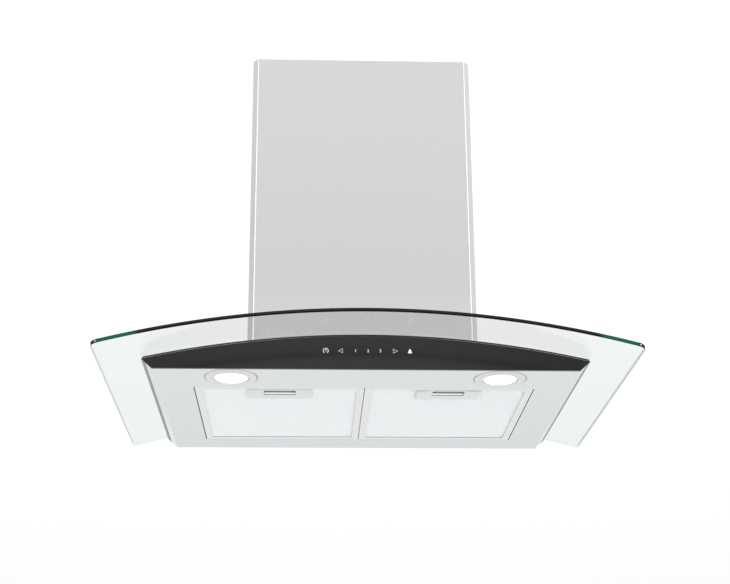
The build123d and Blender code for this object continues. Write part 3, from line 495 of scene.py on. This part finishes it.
finishes = {
    "clear_glass": clear_glass("clear_glass"),
    # Chimney steel with painted light: painted shade darkens it from halfway down, and a painted highlight
    # lightens its foot, seen through the glass
    "stainless": brushed_steel(
        "stainless_upright", 0.622, "z", painted_light_zones=(("Z", 0.45, 0.22, 0.611), ("Z", 0.17, 0.11, 0.645)),
    ),
    "stainless_inner": brushed_steel("stainless_mill", 0.60, "y", rough=0.36),
    "foam": foam("foam"),
    "seal_rubber": seal_rubber("seal_rubber", 0.29),
    "black_glass": black_panel_glass("black_glass"),
    "circuit_board": circuit_board("circuit_board"),
    "black_plastic": moulded_plastic("black_plastic", (0.018, 0.018, 0.019)),
    "galvanised": galvanised_steel("galvanised"),
    "filter_frame": satin_aluminium("filter_frame", 0.73),
    "filter_mesh": mesh_aluminium_glowing("filter_mesh"),
    "filter_handle": satin_aluminium("filter_handle", 0.68, 0.34),
    "latch_plastic": moulded_plastic("latch_plastic", (0.80, 0.82, 0.81), 0.4),
    "bezel_steel": brushed_steel("bezel_steel", 0.645, "x", rough=0.24, tint=(0.975, 1.0, 1.005)),
    "lamp_lens": lamp_light("lamp_lens"),
    "lamp_body": satin_aluminium("lamp_body", 0.60, 0.5),
    "screw_steel": zinc_screw("screw_steel"),
    "scroll_plastic": moulded_plastic("scroll_plastic", (0.022, 0.022, 0.024), 0.5, 700.0),
    "impeller_plastic": moulded_plastic("impeller_plastic", (0.045, 0.047, 0.050), 0.42),
    "motor_paint": motor_paint("motor_paint"),
    "capacitor_plastic": moulded_plastic("capacitor_plastic", (0.66, 0.66, 0.62), 0.4),
    "grey_plastic": moulded_plastic("grey_plastic", (0.17, 0.175, 0.18), 0.45),
}
plate_half = 0.2817         # half the width of the body's flat underside
# Underside steel with painted light: painted shade darkens it towards the rear, and a painted highlight
# lightens the rounded edges beyond the flat underside
plate_steel = brushed_steel(
    "stainless_level", 0.674, "x", rough=0.30, tint=(0.953, 1.0, 1.010),
    painted_light_zones=(("Y", -0.36, -0.03, 0.632), ("X", plate_half - 0.0003, plate_half + 0.0005, 0.82)),
)
edge_glass = sheet_edge_painted_light("sheet_edge_painted_light")
white_print = printed_white("white_print")
panel_arris = ground_arris_highlight("panel_arris")
strip_rubber = seal_rubber("strip_rubber", 0.012)


# ==== Mesh helpers ====

def object_of(mesh, name):
    made = bpy.data.objects.new(name, mesh)
    bpy.context.scene.collection.objects.link(made)
    return made


def object_from(shape, name):
    """The object of a finished bmesh, which is freed."""
    mesh = bpy.data.meshes.new(name)
    shape.to_mesh(mesh)
    shape.free()
    return object_of(mesh, name)


def plain_mesh(source, name):
    """The object with its modifiers applied, as a new plain one; the source is removed."""
    bpy.context.view_layer.update()
    evaluated = source.evaluated_get(bpy.context.evaluated_depsgraph_get())
    mesh = bpy.data.meshes.new_from_object(evaluated)
    mesh.name = name
    source.modifiers.clear()
    bpy.data.objects.remove(source)
    return object_of(mesh, name)


def weighted(made, name):
    """Smooth shading that keeps large faces flat and hard rims crisp."""
    made.data.shade_smooth()
    made.data.set_sharp_from_angle(angle=smooth_angle)
    weighting = made.modifiers.new("weighting", "WEIGHTED_NORMAL")
    weighting.keep_sharp = True
    return plain_mesh(made, name)


def settle(piece, body, slot, material, *replaced):
    """Give a finished piece its finish, its body and the node that it stands for."""
    if material is not None:
        piece.data.materials.clear()
        piece.data.materials.append(material)
    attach(piece, body)
    if replaced:
        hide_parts(*replaced)


def eased_copy(node, name, fold, rim, smooth=True):
    """A CAD piece with its folds rounded by `fold` and its rims eased by `rim`."""
    shape = bmesh.new()
    shape.from_mesh(nodes[node].data)
    bmesh.ops.remove_doubles(shape, verts=shape.verts, dist=merge_distance)
    bmesh.ops.dissolve_limit(
        shape, angle_limit=flat_angle, verts=shape.verts, edges=shape.edges, use_dissolve_boundaries=False,
    )
    weight = shape.edges.layers.float.new("bevel_weight_edge")
    widest = max(fold, rim)
    for edge in shape.edges:
        angle = edge.calc_face_angle(0.0)
        if angle > rim_angle:
            edge[weight] = rim / widest
        elif angle > bend_angle:
            edge[weight] = fold / widest
    made = object_from(shape, name)
    easing = made.modifiers.new("easing", "BEVEL")
    easing.limit_method = "WEIGHT"
    easing.width = widest
    easing.segments = 3
    easing.use_clamp_overlap = True
    eased = plain_mesh(made, name)
    return weighted(eased, name) if smooth else eased


def bar(name, rings, closed=False):
    """A bar through rings of corners, closed on itself or capped at both ends."""
    shape = bmesh.new()
    placed = [[shape.verts.new(corner) for corner in ring] for ring in rings]
    following = placed[1:] + placed[:1] if closed else placed[1:]
    for first, second in zip(placed, following):
        for index in range(len(first)):
            after = (index + 1) % len(first)
            shape.faces.new([first[index], first[after], second[after], second[index]])
    if not closed:
        shape.faces.new(placed[0][::-1])
        shape.faces.new(placed[-1])
    bmesh.ops.recalc_face_normals(shape, faces=shape.faces)
    return object_from(shape, name)


# ==== Geometry Nodes helpers ====

class Tree:
    """A Geometry Nodes tree with named inputs, built node by node."""

    def __init__(self, name, **inputs):
        self.group = bpy.data.node_groups.new(name, "GeometryNodeTree")
        self.group.interface.new_socket("Geometry", in_out="INPUT", socket_type="NodeSocketGeometry")
        self.keys = {}
        for label, kind in inputs.items():
            socket = self.group.interface.new_socket(
                label.replace("_", " "), in_out="INPUT", socket_type=f"NodeSocket{kind}",
            )
            self.keys[label] = socket.identifier
        self.group.interface.new_socket("Geometry", in_out="OUTPUT", socket_type="NodeSocketGeometry")
        self.inputs = self.group.nodes.new("NodeGroupInput")

    def given(self, label):
        return self.inputs.outputs[label.replace("_", " ")]

    def node(self, kind, settings=None, sockets=None, output=0):
        made = self.group.nodes.new(kind)
        for name, setting in (settings or {}).items():
            setattr(made, name, setting)
        for name, value in (sockets or {}).items():
            if isinstance(value, bpy.types.NodeSocket):
                self.group.links.new(value, made.inputs[name])
            else:
                made.inputs[name].default_value = value
        return made.outputs[output]

    def product(self, first, second):
        return self.node("ShaderNodeMath", {"operation": "MULTIPLY"}, {0: first, 1: second})

    def vector(self, x, y, z):
        return self.node("ShaderNodeCombineXYZ", sockets={0: x, 1: y, 2: z})

    def join(self, *parts):
        made = self.group.nodes.new("GeometryNodeJoinGeometry")
        for part in parts:
            self.group.links.new(part, made.inputs[0])
        return made.outputs[0]

    def finish(self, geometry, material):
        realised = self.node("GeometryNodeRealizeInstances", sockets={0: geometry})
        painted = self.node(
            "GeometryNodeSetMaterial", sockets={"Geometry": realised, "Material": material},
        )
        out = self.group.nodes.new("NodeGroupOutput")
        self.group.links.new(painted, out.inputs[0])

    def piece(self, name, mesh=None, **values):
        """A plain mesh made by the tree with these inputs, on an optional base mesh."""
        base = object_of(mesh or bpy.data.meshes.new(name), name)
        modifier = base.modifiers.new("build", "NODES")
        modifier.node_group = self.group
        for label, value in values.items():
            modifier[self.keys[label]] = value
        return plain_mesh(base, name)


# ==== Arched glass ====

def rounded_outline(corners, radii, steps=10):
    """Closed outline through the corners, each rounded by its own radius."""
    outline = []
    for index, (corner, radius) in enumerate(zip(corners, radii)):
        corner = Vector(corner)
        if not radius:
            outline.append(corner)
            continue
        to_last = (Vector(corners[index - 1]) - corner).normalized()
        to_next = (Vector(corners[(index + 1) % len(corners)]) - corner).normalized()
        centre = corner + (to_last + to_next) * radius
        start = -to_next
        end = -to_last
        for step in range(steps + 1):
            turn = math.pi / 2 * step / steps
            outline.append(centre + (start * math.cos(turn) + end * math.sin(turn)) * radius)
    return outline


def arched_glass():
    """The sheet: outline cut out of strips along the arch, with eased and polished edges."""
    notch_half = box_high.x + notch_gap
    notch_front = box_low.y - notch_gap
    corners = [
        (-half_glass, 0), (-half_glass, glass_low.y), (half_glass, glass_low.y), (half_glass, 0),
        (notch_half, 0), (notch_half, notch_front), (-notch_half, notch_front), (-notch_half, 0),
    ]
    radii = [0, glass_corner, glass_corner, 0, 0, notch_corner, notch_corner, 0]
    outline = rounded_outline(corners, radii)
    shape = bmesh.new()
    across = shape.verts.layers.float.new("across")
    loops = [outline]
    screws_low, screws_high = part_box("glass_screws")
    for x in (screws_low.x + screw_head_radius, screws_high.x - screw_head_radius):
        for y in (screws_low.y + screw_head_radius, screws_high.y - screw_head_radius):
            loops.append([
                Vector((x + glass_hole * math.cos(turn), y + glass_hole * math.sin(turn)))
                for turn in (math.tau * step / 40 for step in range(40))
            ])
    for loop in loops:
        ring = [shape.verts.new((p.x, p.y, 0)) for p in loop]
        for first, second in zip(ring, ring[1:] + ring[:1]):
            shape.edges.new((first, second))
    bmesh.ops.triangle_fill(shape, use_beauty=True, use_dissolve=False, edges=shape.edges, normal=(0, 0, 1))
    bmesh.ops.dissolve_limit(shape, angle_limit=flat_angle, verts=shape.verts, edges=shape.edges)
    strip = 0.010
    count = int(half_glass / strip)
    for index in range(-count, count + 1):
        everything = shape.verts[:] + shape.edges[:] + shape.faces[:]
        bmesh.ops.bisect_plane(
            shape, geom=everything, plane_co=(index * strip, 0, 0), plane_no=(1, 0, 0), dist=merge_distance,
        )
    bmesh.ops.recalc_face_normals(shape, faces=shape.faces)
    if shape.faces[:][0].normal.z < 0:
        bmesh.ops.reverse_faces(shape, faces=shape.faces)
    lower = shape.faces[:]
    raised = bmesh.ops.extrude_face_region(shape, geom=lower)
    upper = {v for v in raised["geom"] if isinstance(v, bmesh.types.BMVert)}
    bmesh.ops.reverse_faces(shape, faces=lower)
    for vertex in shape.verts:
        is_upper = vertex in upper
        vertex[across] = 1.0 if is_upper else 0.0
        vertex.co.z = arch_height(vertex.co.x, glass_thickness if is_upper else 0.0)
    shape.normal_update()
    for face in shape.faces:
        if abs(face.normal.z) < 0.5:
            face.material_index = 1
    made = object_from(shape, "arched_glass")
    made.data.materials.append(finishes["clear_glass"])
    made.data.materials.append(edge_glass)
    arris = made.modifiers.new("arris", "BEVEL")
    arris.limit_method = "ANGLE"
    arris.angle_limit = arris_angle
    arris.width = glass_arris
    arris.segments = 3
    arris.material = 1
    return weighted(plain_mesh(made, "arched_glass"), "arched_glass")


settle(arched_glass(), "root", "clear_glass", None, "glass_canopy")


# ==== Folded sheet metal ====

chimney_fold = 0.00145
shell_fold = 0.0009
thin_rim = 0.00025
handle_setback = 0.0062     # front rim of the handle plate behind the outline that it fills
handle_lip = 0.0088         # where the rolled lip of that rim starts
lip_thinning = 0.3

for node, name, body, material, fold in (
    ("chimney_lower", "lower_chimney_cover", "root", finishes["stainless"], chimney_fold),
    ("chimney_upper", "upper_chimney_cover", "chimney_upper", finishes["stainless"], chimney_fold),
    ("canopy_shell", "body_shell", "root", plate_steel, shell_fold),
    ("motor_box", "motor_housing", "root", finishes["galvanised"], thin_rim),
):
    slot = "galvanised" if node == "motor_box" else "stainless"
    settle(eased_copy(node, name, fold, thin_rim), body, slot, material, node)

for side, word in SIDES:
    settle(
        eased_copy(f"filter_frame_{word}", f"cassette_frame_{word}", 0.0003, 0.0003),
        f"filter_{word}", "filter_frame", finishes["filter_frame"], f"filter_frame_{word}",
    )
    plate = eased_copy(f"filter_handle_{word}", f"handle_plate_{word}", 0.0003, 0.0003)
    plate_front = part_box(f"filter_handle_{word}")[0].y
    shape = bmesh.new()
    shape.from_mesh(plate.data)
    bmesh.ops.bisect_plane(
        shape, geom=shape.verts[:] + shape.edges[:] + shape.faces[:], dist=merge_distance,
        plane_co=(0, plate_front + handle_lip, 0), plane_no=(0, 1, 0),
    )
    for vertex in shape.verts:
        if vertex.co.y < plate_front + handle_setback:
            vertex.co.y += handle_setback
            vertex.co.z *= lip_thinning
    shape.to_mesh(plate.data)
    shape.free()
    settle(plate, f"filter_{word}", "filter_handle", finishes["filter_handle"], f"filter_handle_{word}")
    settle(
        eased_copy(f"lamp_bezel_{word}", f"lamp_ring_{word}", 0.0004, 0.0003),
        "root", "bezel_steel", finishes["bezel_steel"], f"lamp_bezel_{word}",
    )


# ==== Seals round the lamps, with painted shade at their sides ====

def flat_ring(name, centre, inner, outer, z_low, z_high, count=64):
    """A closed ring of rectangular section round an upright axis."""
    rings = []
    for step in range(count):
        turn = math.tau * step / count
        rings.append([
            (centre.x + r * math.cos(turn), centre.y + r * math.sin(turn), z)
            for r, z in ((inner, z_low), (outer, z_low), (outer, z_high), (inner, z_high))
        ])
    return weighted(bar(name, rings, closed=True), name)


gasket_tuck = 0.0004        # under the rim of the lamp's ring
gasket_reach = 0.0007       # beyond it
gasket_height = 0.0003
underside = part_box("canopy_shell")[0].z
rim_shade_rubber = seal_with_painted_shade("rim_shade_rubber")
for side, word in SIDES:
    low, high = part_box(f"lamp_bezel_{word}")
    rim = (high.x - low.x) / 2
    ring = flat_ring(
        f"bezel_shadow_ring_{word}", (low + high) / 2, rim - gasket_tuck, rim + gasket_reach,
        underside - gasket_height, underside - lying_gap,
    )
    settle(ring, "root", "seal_rubber", rim_shade_rubber)


# ==== Finger grips in the latches, with grey liners standing in for shade ====

latch_wall = 0.0015
grip_height = 0.0006
grip_depth = 0.0008
grip_hang = 0.0009          # how far the grip comes down below its latch
liner_height = 0.0037
liner_thickness = 0.0003
liner_gap = 0.00005         # between the grip and the liner over it


def long_prism(name, ends, section):
    """A bar along X between two ends, with the given section of (y, z) corners."""
    return bar(name, [[(x, y, z) for y, z in section] for x in ends])


slot_shade_rubber = seal_rubber("slot_shade_rubber", 0.29)
spring_steel = brushed_steel("spring_steel", 0.92, "x", rough=0.22)
for side, word in SIDES:
    low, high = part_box(f"filter_latch_{word}")
    ends = (low.x + latch_wall, high.x - latch_wall)
    rear = high.y - latch_wall - lying_gap
    grip = long_prism(f"finger_grip_{word}", ends, [
        (rear, low.z - grip_hang), (rear, low.z + grip_height), (rear - grip_depth, low.z + grip_height),
    ])
    settle(grip, f"latch_{word}", "screw_steel", spring_steel)
    # painted shade: a grey rubber liner over each grip stands for the shade deep in the latch's slot
    foot = low.z + grip_height + liner_gap
    liner = long_prism(f"slot_shade_liner_{word}", ends, [
        (rear, foot), (rear, foot + liner_height), (rear - liner_thickness, foot + liner_height),
        (rear - liner_thickness, foot),
    ])
    settle(liner, f"latch_{word}", "seal_rubber", slot_shade_rubber)


# ==== Filter mesh ====

def wire_cloth_tree():
    """Fine wires laid along the edges of the base mesh."""
    tree = Tree("wire_cloth", Wire="Float", Material="Material")
    paths = tree.node("GeometryNodeMeshToCurve", sockets={"Mesh": tree.given("Geometry")})
    section = tree.node("GeometryNodeCurvePrimitiveCircle", {"mode": "RADIUS"}, {
        "Resolution": 3, "Radius": tree.given("Wire"),
    })
    wires = tree.node("GeometryNodeCurveToMesh", sockets={
        "Curve": paths, "Profile Curve": section, "Fill Caps": True,
    })
    tree.finish(wires, tree.given("Material"))
    return tree


def crossed_paths(low, high, pocket, levels):
    """Two sets of slanted lines over a rectangle, cut short at the latch's pocket."""
    pitch_x, pitch_y = mesh_pitch
    corners = []
    for way, level in zip((1, -1), levels):
        slope = way * pitch_y / pitch_x
        reach = (high.y - low.y) / abs(slope)
        first = low.x - (reach if way > 0 else 0.0)
        last = high.x + (reach if way < 0 else 0.0)
        for index in range(int((last - first) / pitch_x)):
            foot = first + (index + 0.5) * pitch_x
            x_low = max(low.x, min(foot, foot + (high.y - low.y) / slope))
            x_high = min(high.x, max(foot, foot + (high.y - low.y) / slope))
            spans = [(x_low, x_high)]
            inside = sorted(foot + (y - low.y) / slope for y in (low.y, pocket[2]))
            cut_low, cut_high = max(pocket[0], inside[0]), min(pocket[1], inside[1])
            if cut_low < cut_high:
                spans = [(x_low, min(x_high, cut_low)), (max(x_low, cut_high), x_high)]
            for start, end in spans:
                if end - start > pitch_x / 4:
                    corners.extend((x, low.y + (x - foot) * slope, level) for x in (start, end))
    mesh = bpy.data.meshes.new("crossed_paths")
    mesh.from_pydata(corners, [(index, index + 1) for index in range(0, len(corners), 2)], [])
    return mesh


mesh_pitch = (0.0024, 0.0016)
wire_radius = 0.00026
crossing_lift = 1.6 * wire_radius
mesh_tree = wire_cloth_tree()
latch_clearance = 0.002
pocket_clearance = 0.010    # behind the latch
mesh_boxes = {word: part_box(f"filter_mesh_{word}") for side, word in SIDES}
pockets = {}

for side, word in SIDES:
    low, high = mesh_boxes[word]
    latch_low, latch_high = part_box(f"filter_latch_{word}")
    pockets[word] = (
        latch_low.x - latch_clearance, latch_high.x + latch_clearance, latch_high.y + pocket_clearance,
    )
    levels = (low.z + wire_radius, low.z + wire_radius + crossing_lift)
    inset = Vector((2 * wire_radius, 2 * wire_radius, 0))
    woven = mesh_tree.piece(
        f"wire_cloth_{word}", mesh=crossed_paths(low + inset, high - inset, pockets[word], levels),
        Wire=wire_radius, Material=finishes["filter_mesh"],
    )
    settle(woven, f"filter_{word}", "filter_mesh", None, f"filter_mesh_{word}")


# ==== Baffle sheets over the mesh ====

def sheet_piece(name, x_low, x_high, y_low, y_high, z, thickness, holes=()):
    """A thin level sheet with rectangular cut-outs along its front edge."""
    xs = sorted({x_low, x_high, *(x for hole in holes for x in hole[:2])})
    ys = sorted({y_low, y_high, *(hole[2] for hole in holes)})
    shape = bmesh.new()
    corners = {(x, y): shape.verts.new((x, y, z)) for x in xs for y in ys}
    for x0, x1 in zip(xs, xs[1:]):
        for y0, y1 in zip(ys, ys[1:]):
            if any(hole[0] <= x0 and x1 <= hole[1] and y1 <= hole[2] for hole in holes):
                continue
            shape.faces.new([corners[x0, y0], corners[x1, y0], corners[x1, y1], corners[x0, y1]])
    loose = [vertex for vertex in shape.verts if not vertex.link_faces]
    bmesh.ops.delete(shape, geom=loose, context="VERTS")
    made = object_from(shape, name)
    gauge = made.modifiers.new("gauge", "SOLIDIFY")
    gauge.thickness = thickness
    gauge.offset = 1.0
    return plain_mesh(made, name)


baffle_thickness = 0.0004
baffle_inset = 0.002
for side, word in SIDES:
    low, high = mesh_boxes[word]
    baffle = sheet_piece(
        f"baffle_{word}", low.x + baffle_inset, high.x - baffle_inset,
        low.y + baffle_inset, high.y - baffle_inset,
        high.z - 2 * baffle_thickness, baffle_thickness, [pockets[word]],
    )
    settle(baffle, f"filter_{word}", "filter_mesh", finishes["filter_mesh"])


# ==== Touch marks on the panel ====

print_proud = 0.00012
mark_height = 0.0060
mark_level = 0.0252
mark_places = {
    "timer": -0.0544, "slower": -0.0347, "one": -0.0150, "two": 0.0013, "three": 0.0175,
    "faster": 0.0371, "lamp": 0.0565,
}


def flat_curve(points, closed, stroke):
    """A line of the given stroke in the XY plane, or a filled shape where the stroke is 0."""
    curve = bpy.data.curves.new("mark", "CURVE")
    curve.dimensions = "3D" if stroke else "2D"
    curve.fill_mode = "FULL" if stroke else "BOTH"
    spline = curve.splines.new("POLY")
    spline.points.add(len(points) - 1)
    for point, (px, py) in zip(spline.points, points):
        point.co = (px, py, 0, 1)
    spline.use_cyclic_u = closed
    if stroke:
        curve.bevel_depth = stroke / 2
        curve.bevel_resolution = 1
    return curve


def arc_points(radius, start, sweep, centre=(0, 0), count=28):
    """Points along an arc, with the angles in degrees."""
    turns = [math.radians(start + sweep * step / (count - 1)) for step in range(count)]
    return [(centre[0] + radius * math.cos(turn), centre[1] + radius * math.sin(turn)) for turn in turns]


def touch_marks():
    """Timer, slower, speeds one to three, faster and lamp, as thin printed marks."""
    h = mark_height
    stroke = h * 0.12
    pieces = []

    def add_curve(place, points, closed, width=stroke):
        made = bpy.data.objects.new("mark", flat_curve(points, closed, width))
        pieces.append((made, mark_places[place]))

    add_curve("timer", arc_points(h * 0.56, start=-62, sweep=304), closed=False)
    add_curve("timer", [(0, h * 0.34), (0, 0), (h * 0.24, -h * 0.10)], closed=False)
    for name, way in (("slower", -1), ("faster", 1)):
        arrow = [(way * h * 0.5, 0), (-way * h * 0.42, h * 0.48), (-way * h * 0.42, -h * 0.48)]
        add_curve(name, arrow, closed=True)
    shade = arc_points(h * 0.15, start=20, sweep=140, centre=(0, h * 0.36), count=9)
    brim = [(-h * 0.40, -h * 0.30), (-h * 0.44, -h * 0.48), (h * 0.44, -h * 0.48), (h * 0.40, -h * 0.30)]
    add_curve("lamp", shade + brim, closed=True, width=0.0)
    for name, figure in (("one", "1"), ("two", "2"), ("three", "3")):
        text = bpy.data.curves.new("figure", "FONT")
        text.body = figure
        text.size = h * 0.95
        text.align_x = "CENTER"
        text.align_y = "CENTER"
        pieces.append((bpy.data.objects.new("mark", text), mark_places[name]))
    joined = bmesh.new()
    for source, x in pieces:
        bpy.context.scene.collection.objects.link(source)
        bpy.context.view_layer.update()
        flat = bpy.data.meshes.new_from_object(source.evaluated_get(bpy.context.evaluated_depsgraph_get()))
        for vertex in flat.vertices:
            across, up = vertex.co.x, vertex.co.y
            vertex.co = (x + across, panel_low.y - print_proud, mark_level + up)
        joined.from_mesh(flat)
        bpy.data.objects.remove(source)
        bpy.data.meshes.remove(flat)
    bmesh.ops.remove_doubles(joined, verts=joined.verts, dist=merge_distance)
    bmesh.ops.dissolve_degenerate(joined, edges=joined.edges, dist=merge_distance)
    flat_faces = joined.faces[:]
    bmesh.ops.recalc_face_normals(joined, faces=flat_faces)
    for face in flat_faces:
        if face.normal.y > 0:
            face.normal_flip()
    made = object_from(joined, "touch_marks")
    ink = made.modifiers.new("ink", "SOLIDIFY")
    ink.thickness = print_proud * 0.9
    ink.offset = -1.0
    return plain_mesh(made, "touch_marks")


def touch_panel():
    """The panel under its seal, with the upper ground edge in a finish of its own."""
    made = eased_copy("control_panel", "touch_panel", 0.00012, 0.00012, smooth=False)
    made.data.materials.clear()
    made.data.materials.append(finishes["black_glass"])
    made.data.materials.append(panel_arris)
    for vertex in made.data.vertices:
        drop = arch_height(vertex.co.x) - vertex.co.z - panel_gap
        if drop < panel_edge + edge_slack:
            vertex.co.z -= seal_reach
    made.data.update()
    for polygon in made.data.polygons:
        upper = polygon.normal.z > 0.3 and polygon.normal.y < -0.3
        polygon.material_index = 1 if upper else 0
    return made


def arch_strip(name, half, y_low, y_high, drop_low, drop_high, count=80):
    """A strip that follows the underside of the glass, between two drops below it."""
    rings = []
    for index in range(count + 1):
        x = half * (2 * index / count - 1)
        top = arch_height(x) - drop_high
        foot = arch_height(x) - drop_low
        rings.append([(x, y_low, foot), (x, y_high, foot), (x, y_high, top), (x, y_low, top)])
    return weighted(bar(name, rings), name)


panel_gap = arch_height(0.0) - panel_high.z
panel_edge = 0.0005
edge_slack = 0.0002
seal_skin = 0.00004
seal_reach = 0.0010         # how far the seal comes down over the panel's top
seal_setback = 0.0001       # behind the panel's face
seal_depth = 0.0029
seal_end_gap = 0.001        # short of the panel's ends
settle(touch_marks(), "root", "black_glass", white_print)
settle(touch_panel(), "root", "black_glass", None, "control_panel")
settle(
    arch_strip(
        "panel_seal", panel_high.x - seal_end_gap,
        panel_low.y + seal_setback, panel_low.y + seal_setback + seal_depth,
        panel_gap + seal_reach - seal_skin, seal_skin,
    ),
    "root", "seal_rubber", strip_rubber,
)


# ==== Screws ====

def screw_tree():
    """Pan-head screws with a cross recess, one on each point of the base mesh."""
    tree = Tree(
        "cross_head_screws", Head_Radius="Float", Head_Height="Float", Shank_Radius="Float",
        Shank_Length="Float", Recess="Float", Material="Material",
    )
    head = tree.node("GeometryNodeMeshCone", {"fill_type": "NGON"}, {
        "Vertices": 32, "Side Segments": 1, "Radius Bottom": tree.given("Head_Radius"),
        "Radius Top": tree.product(tree.given("Head_Radius"), 0.72),
        "Depth": tree.given("Head_Height"),
    }, "Mesh")
    slots = []
    long = tree.product(tree.given("Head_Radius"), 1.15)
    for size in ((long, tree.given("Recess")), (tree.given("Recess"), long)):
        cutter = tree.node("GeometryNodeMeshCube", sockets={
            "Size": tree.vector(*size, tree.given("Head_Height")),
        }, output="Mesh")
        slots.append(tree.node("GeometryNodeTransform", sockets={
            "Geometry": cutter,
            "Translation": tree.vector(0.0, 0.0, tree.product(tree.given("Head_Height"), 0.95)),
        }))
    cut = head
    for cutter in slots:
        made = tree.group.nodes.new("GeometryNodeMeshBoolean")
        made.operation = "DIFFERENCE"
        tree.group.links.new(cut, made.inputs[0])
        tree.group.links.new(cutter, made.inputs[1])
        cut = made.outputs[0]
    shank = tree.node("GeometryNodeMeshCylinder", {"fill_type": "NGON"}, {
        "Vertices": 20, "Side Segments": 1, "Radius": tree.given("Shank_Radius"),
        "Depth": tree.given("Shank_Length"),
    }, "Mesh")
    lowered = tree.node("GeometryNodeTransform", sockets={
        "Geometry": shank,
        "Translation": tree.vector(0.0, 0.0, tree.product(tree.given("Shank_Length"), -0.5)),
    })
    screws = tree.node("GeometryNodeInstanceOnPoints", sockets={
        "Points": tree.given("Geometry"), "Instance": tree.join(cut, lowered),
    })
    tree.finish(screws, tree.given("Material"))
    return tree


screws = screw_tree()
screw_head_height = 0.0025


def corner_points(node, top):
    """One point for each of the four screws of a node, at the underside of its head."""
    low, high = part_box(node)
    mesh = bpy.data.meshes.new("seats")
    mesh.from_pydata([
        (x, y, top)
        for x in (low.x + screw_head_radius, high.x - screw_head_radius)
        for y in (low.y + screw_head_radius, high.y - screw_head_radius)
    ], [], [])
    return mesh


for node, name in (
    ("glass_screws", "cross_head_glass_screws"), ("motor_box_screws", "cross_head_box_screws"),
):
    low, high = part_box(node)
    seat = high.z - screw_head_height
    fastened = screws.piece(
        name, mesh=corner_points(node, seat), Head_Radius=screw_head_radius, Head_Height=screw_head_height,
        Shank_Radius=0.002, Shank_Length=seat - low.z, Recess=0.0011, Material=finishes["screw_steel"],
    )
    fastened.data.shade_smooth()
    fastened.data.set_sharp_from_angle(angle=smooth_angle)
    settle(fastened, "root", "screw_steel", None, node)


# ==== CAD pieces that keep their shape ====

for row in frame["record"]["subparts"]:
    for slot in nodes[row["node"]].material_slots:
        slot.link = "OBJECT"
        slot.material = finishes[row["material_slot"]]


# ==== Studio ====

floor_level = -2.7
floor_half = 25.0


def studio():
    """Pale floor far below the hood, white surroundings and two soft boxes."""
    mesh = bpy.data.meshes.new("studio_floor")
    mesh.from_pydata(
        [(x * floor_half, y * floor_half, floor_level) for x, y in ((-1, -1), (1, -1), (1, 1), (-1, 1))],
        [], [(0, 1, 2, 3)],
    )
    mesh.materials.append(studio_floor("studio_floor"))
    object_of(mesh, "studio_floor")

    world = bpy.data.worlds.new("studio")
    bpy.context.scene.world = world
    sky = Finish(world, "Generated")
    side = sky.span(sky.axis("X"), -1.0, -0.35, 0.84, 1.0)
    front = sky.span(sky.axis("Y"), -0.5, 0.0, 0.96, 1.0)
    high = sky.node("ShaderNodeFloatCurve", sockets={"Value": sky.axis("Z")})
    mapping = high.socket.node.mapping
    curve = mapping.curves[0]
    mapping.use_clip = False
    curve.points[0].location = (0.20, 1.0)
    curve.points[1].location = (1.0, 1.4)
    curve.points.new(0.50, 1.16)
    for point in curve.points:
        point.handle_type = "VECTOR"
    mapping.update()
    light = sky.node("ShaderNodeBackground", sockets={
        "Color": (1, 1, 1, 1), "Strength": side * front * high,
    })
    sky.finished(light, "ShaderNodeOutputWorld")

    for side, word in SIDES:
        name = f"soft_box_{word}"
        place = Vector((side * 2.3, -2.5, 1.2))
        lamp = bpy.data.lights.new(name, "AREA")
        lamp.shape = "RECTANGLE"
        lamp.size = 0.7
        lamp.size_y = 2.2
        lamp.energy = 14.0
        holder = bpy.data.objects.new(name, lamp)
        holder.location = place
        aim = Vector((0, -0.2, 0.25)) - place
        holder.rotation_euler = aim.to_track_quat("-Z", "Y").to_euler()
        bpy.context.scene.collection.objects.link(holder)


def photo_camera():
    """The photograph's viewpoint, in front of the hood and below it."""
    place = Vector((-0.0762, -2.1886, -0.5813))
    pitch = math.radians(19.049)
    yaw = math.radians(2.356)
    roll = math.radians(0.362)
    ahead = Vector((math.sin(yaw) * math.cos(pitch), math.cos(yaw) * math.cos(pitch), math.sin(pitch)))
    level = Vector((math.cos(yaw), -math.sin(yaw), 0))
    upright = level.cross(ahead)
    right = level * math.cos(roll) - upright * math.sin(roll)
    up = upright * math.cos(roll) + level * math.sin(roll)
    lens = bpy.data.cameras.new("photo_camera")
    lens.sensor_fit = "HORIZONTAL"
    lens.sensor_width = 36.0
    lens.lens = 70.73
    lens.shift_y = 0.07
    camera = bpy.data.objects.new("photo_camera", lens)
    turned = Matrix((right, up, -ahead)).transposed().to_4x4()
    camera.matrix_world = Matrix.Translation(place) @ turned
    bpy.context.scene.collection.objects.link(camera)
    bpy.context.scene.camera = camera


studio()
photo_camera()
bpy.context.scene.view_settings.view_transform = "Standard"
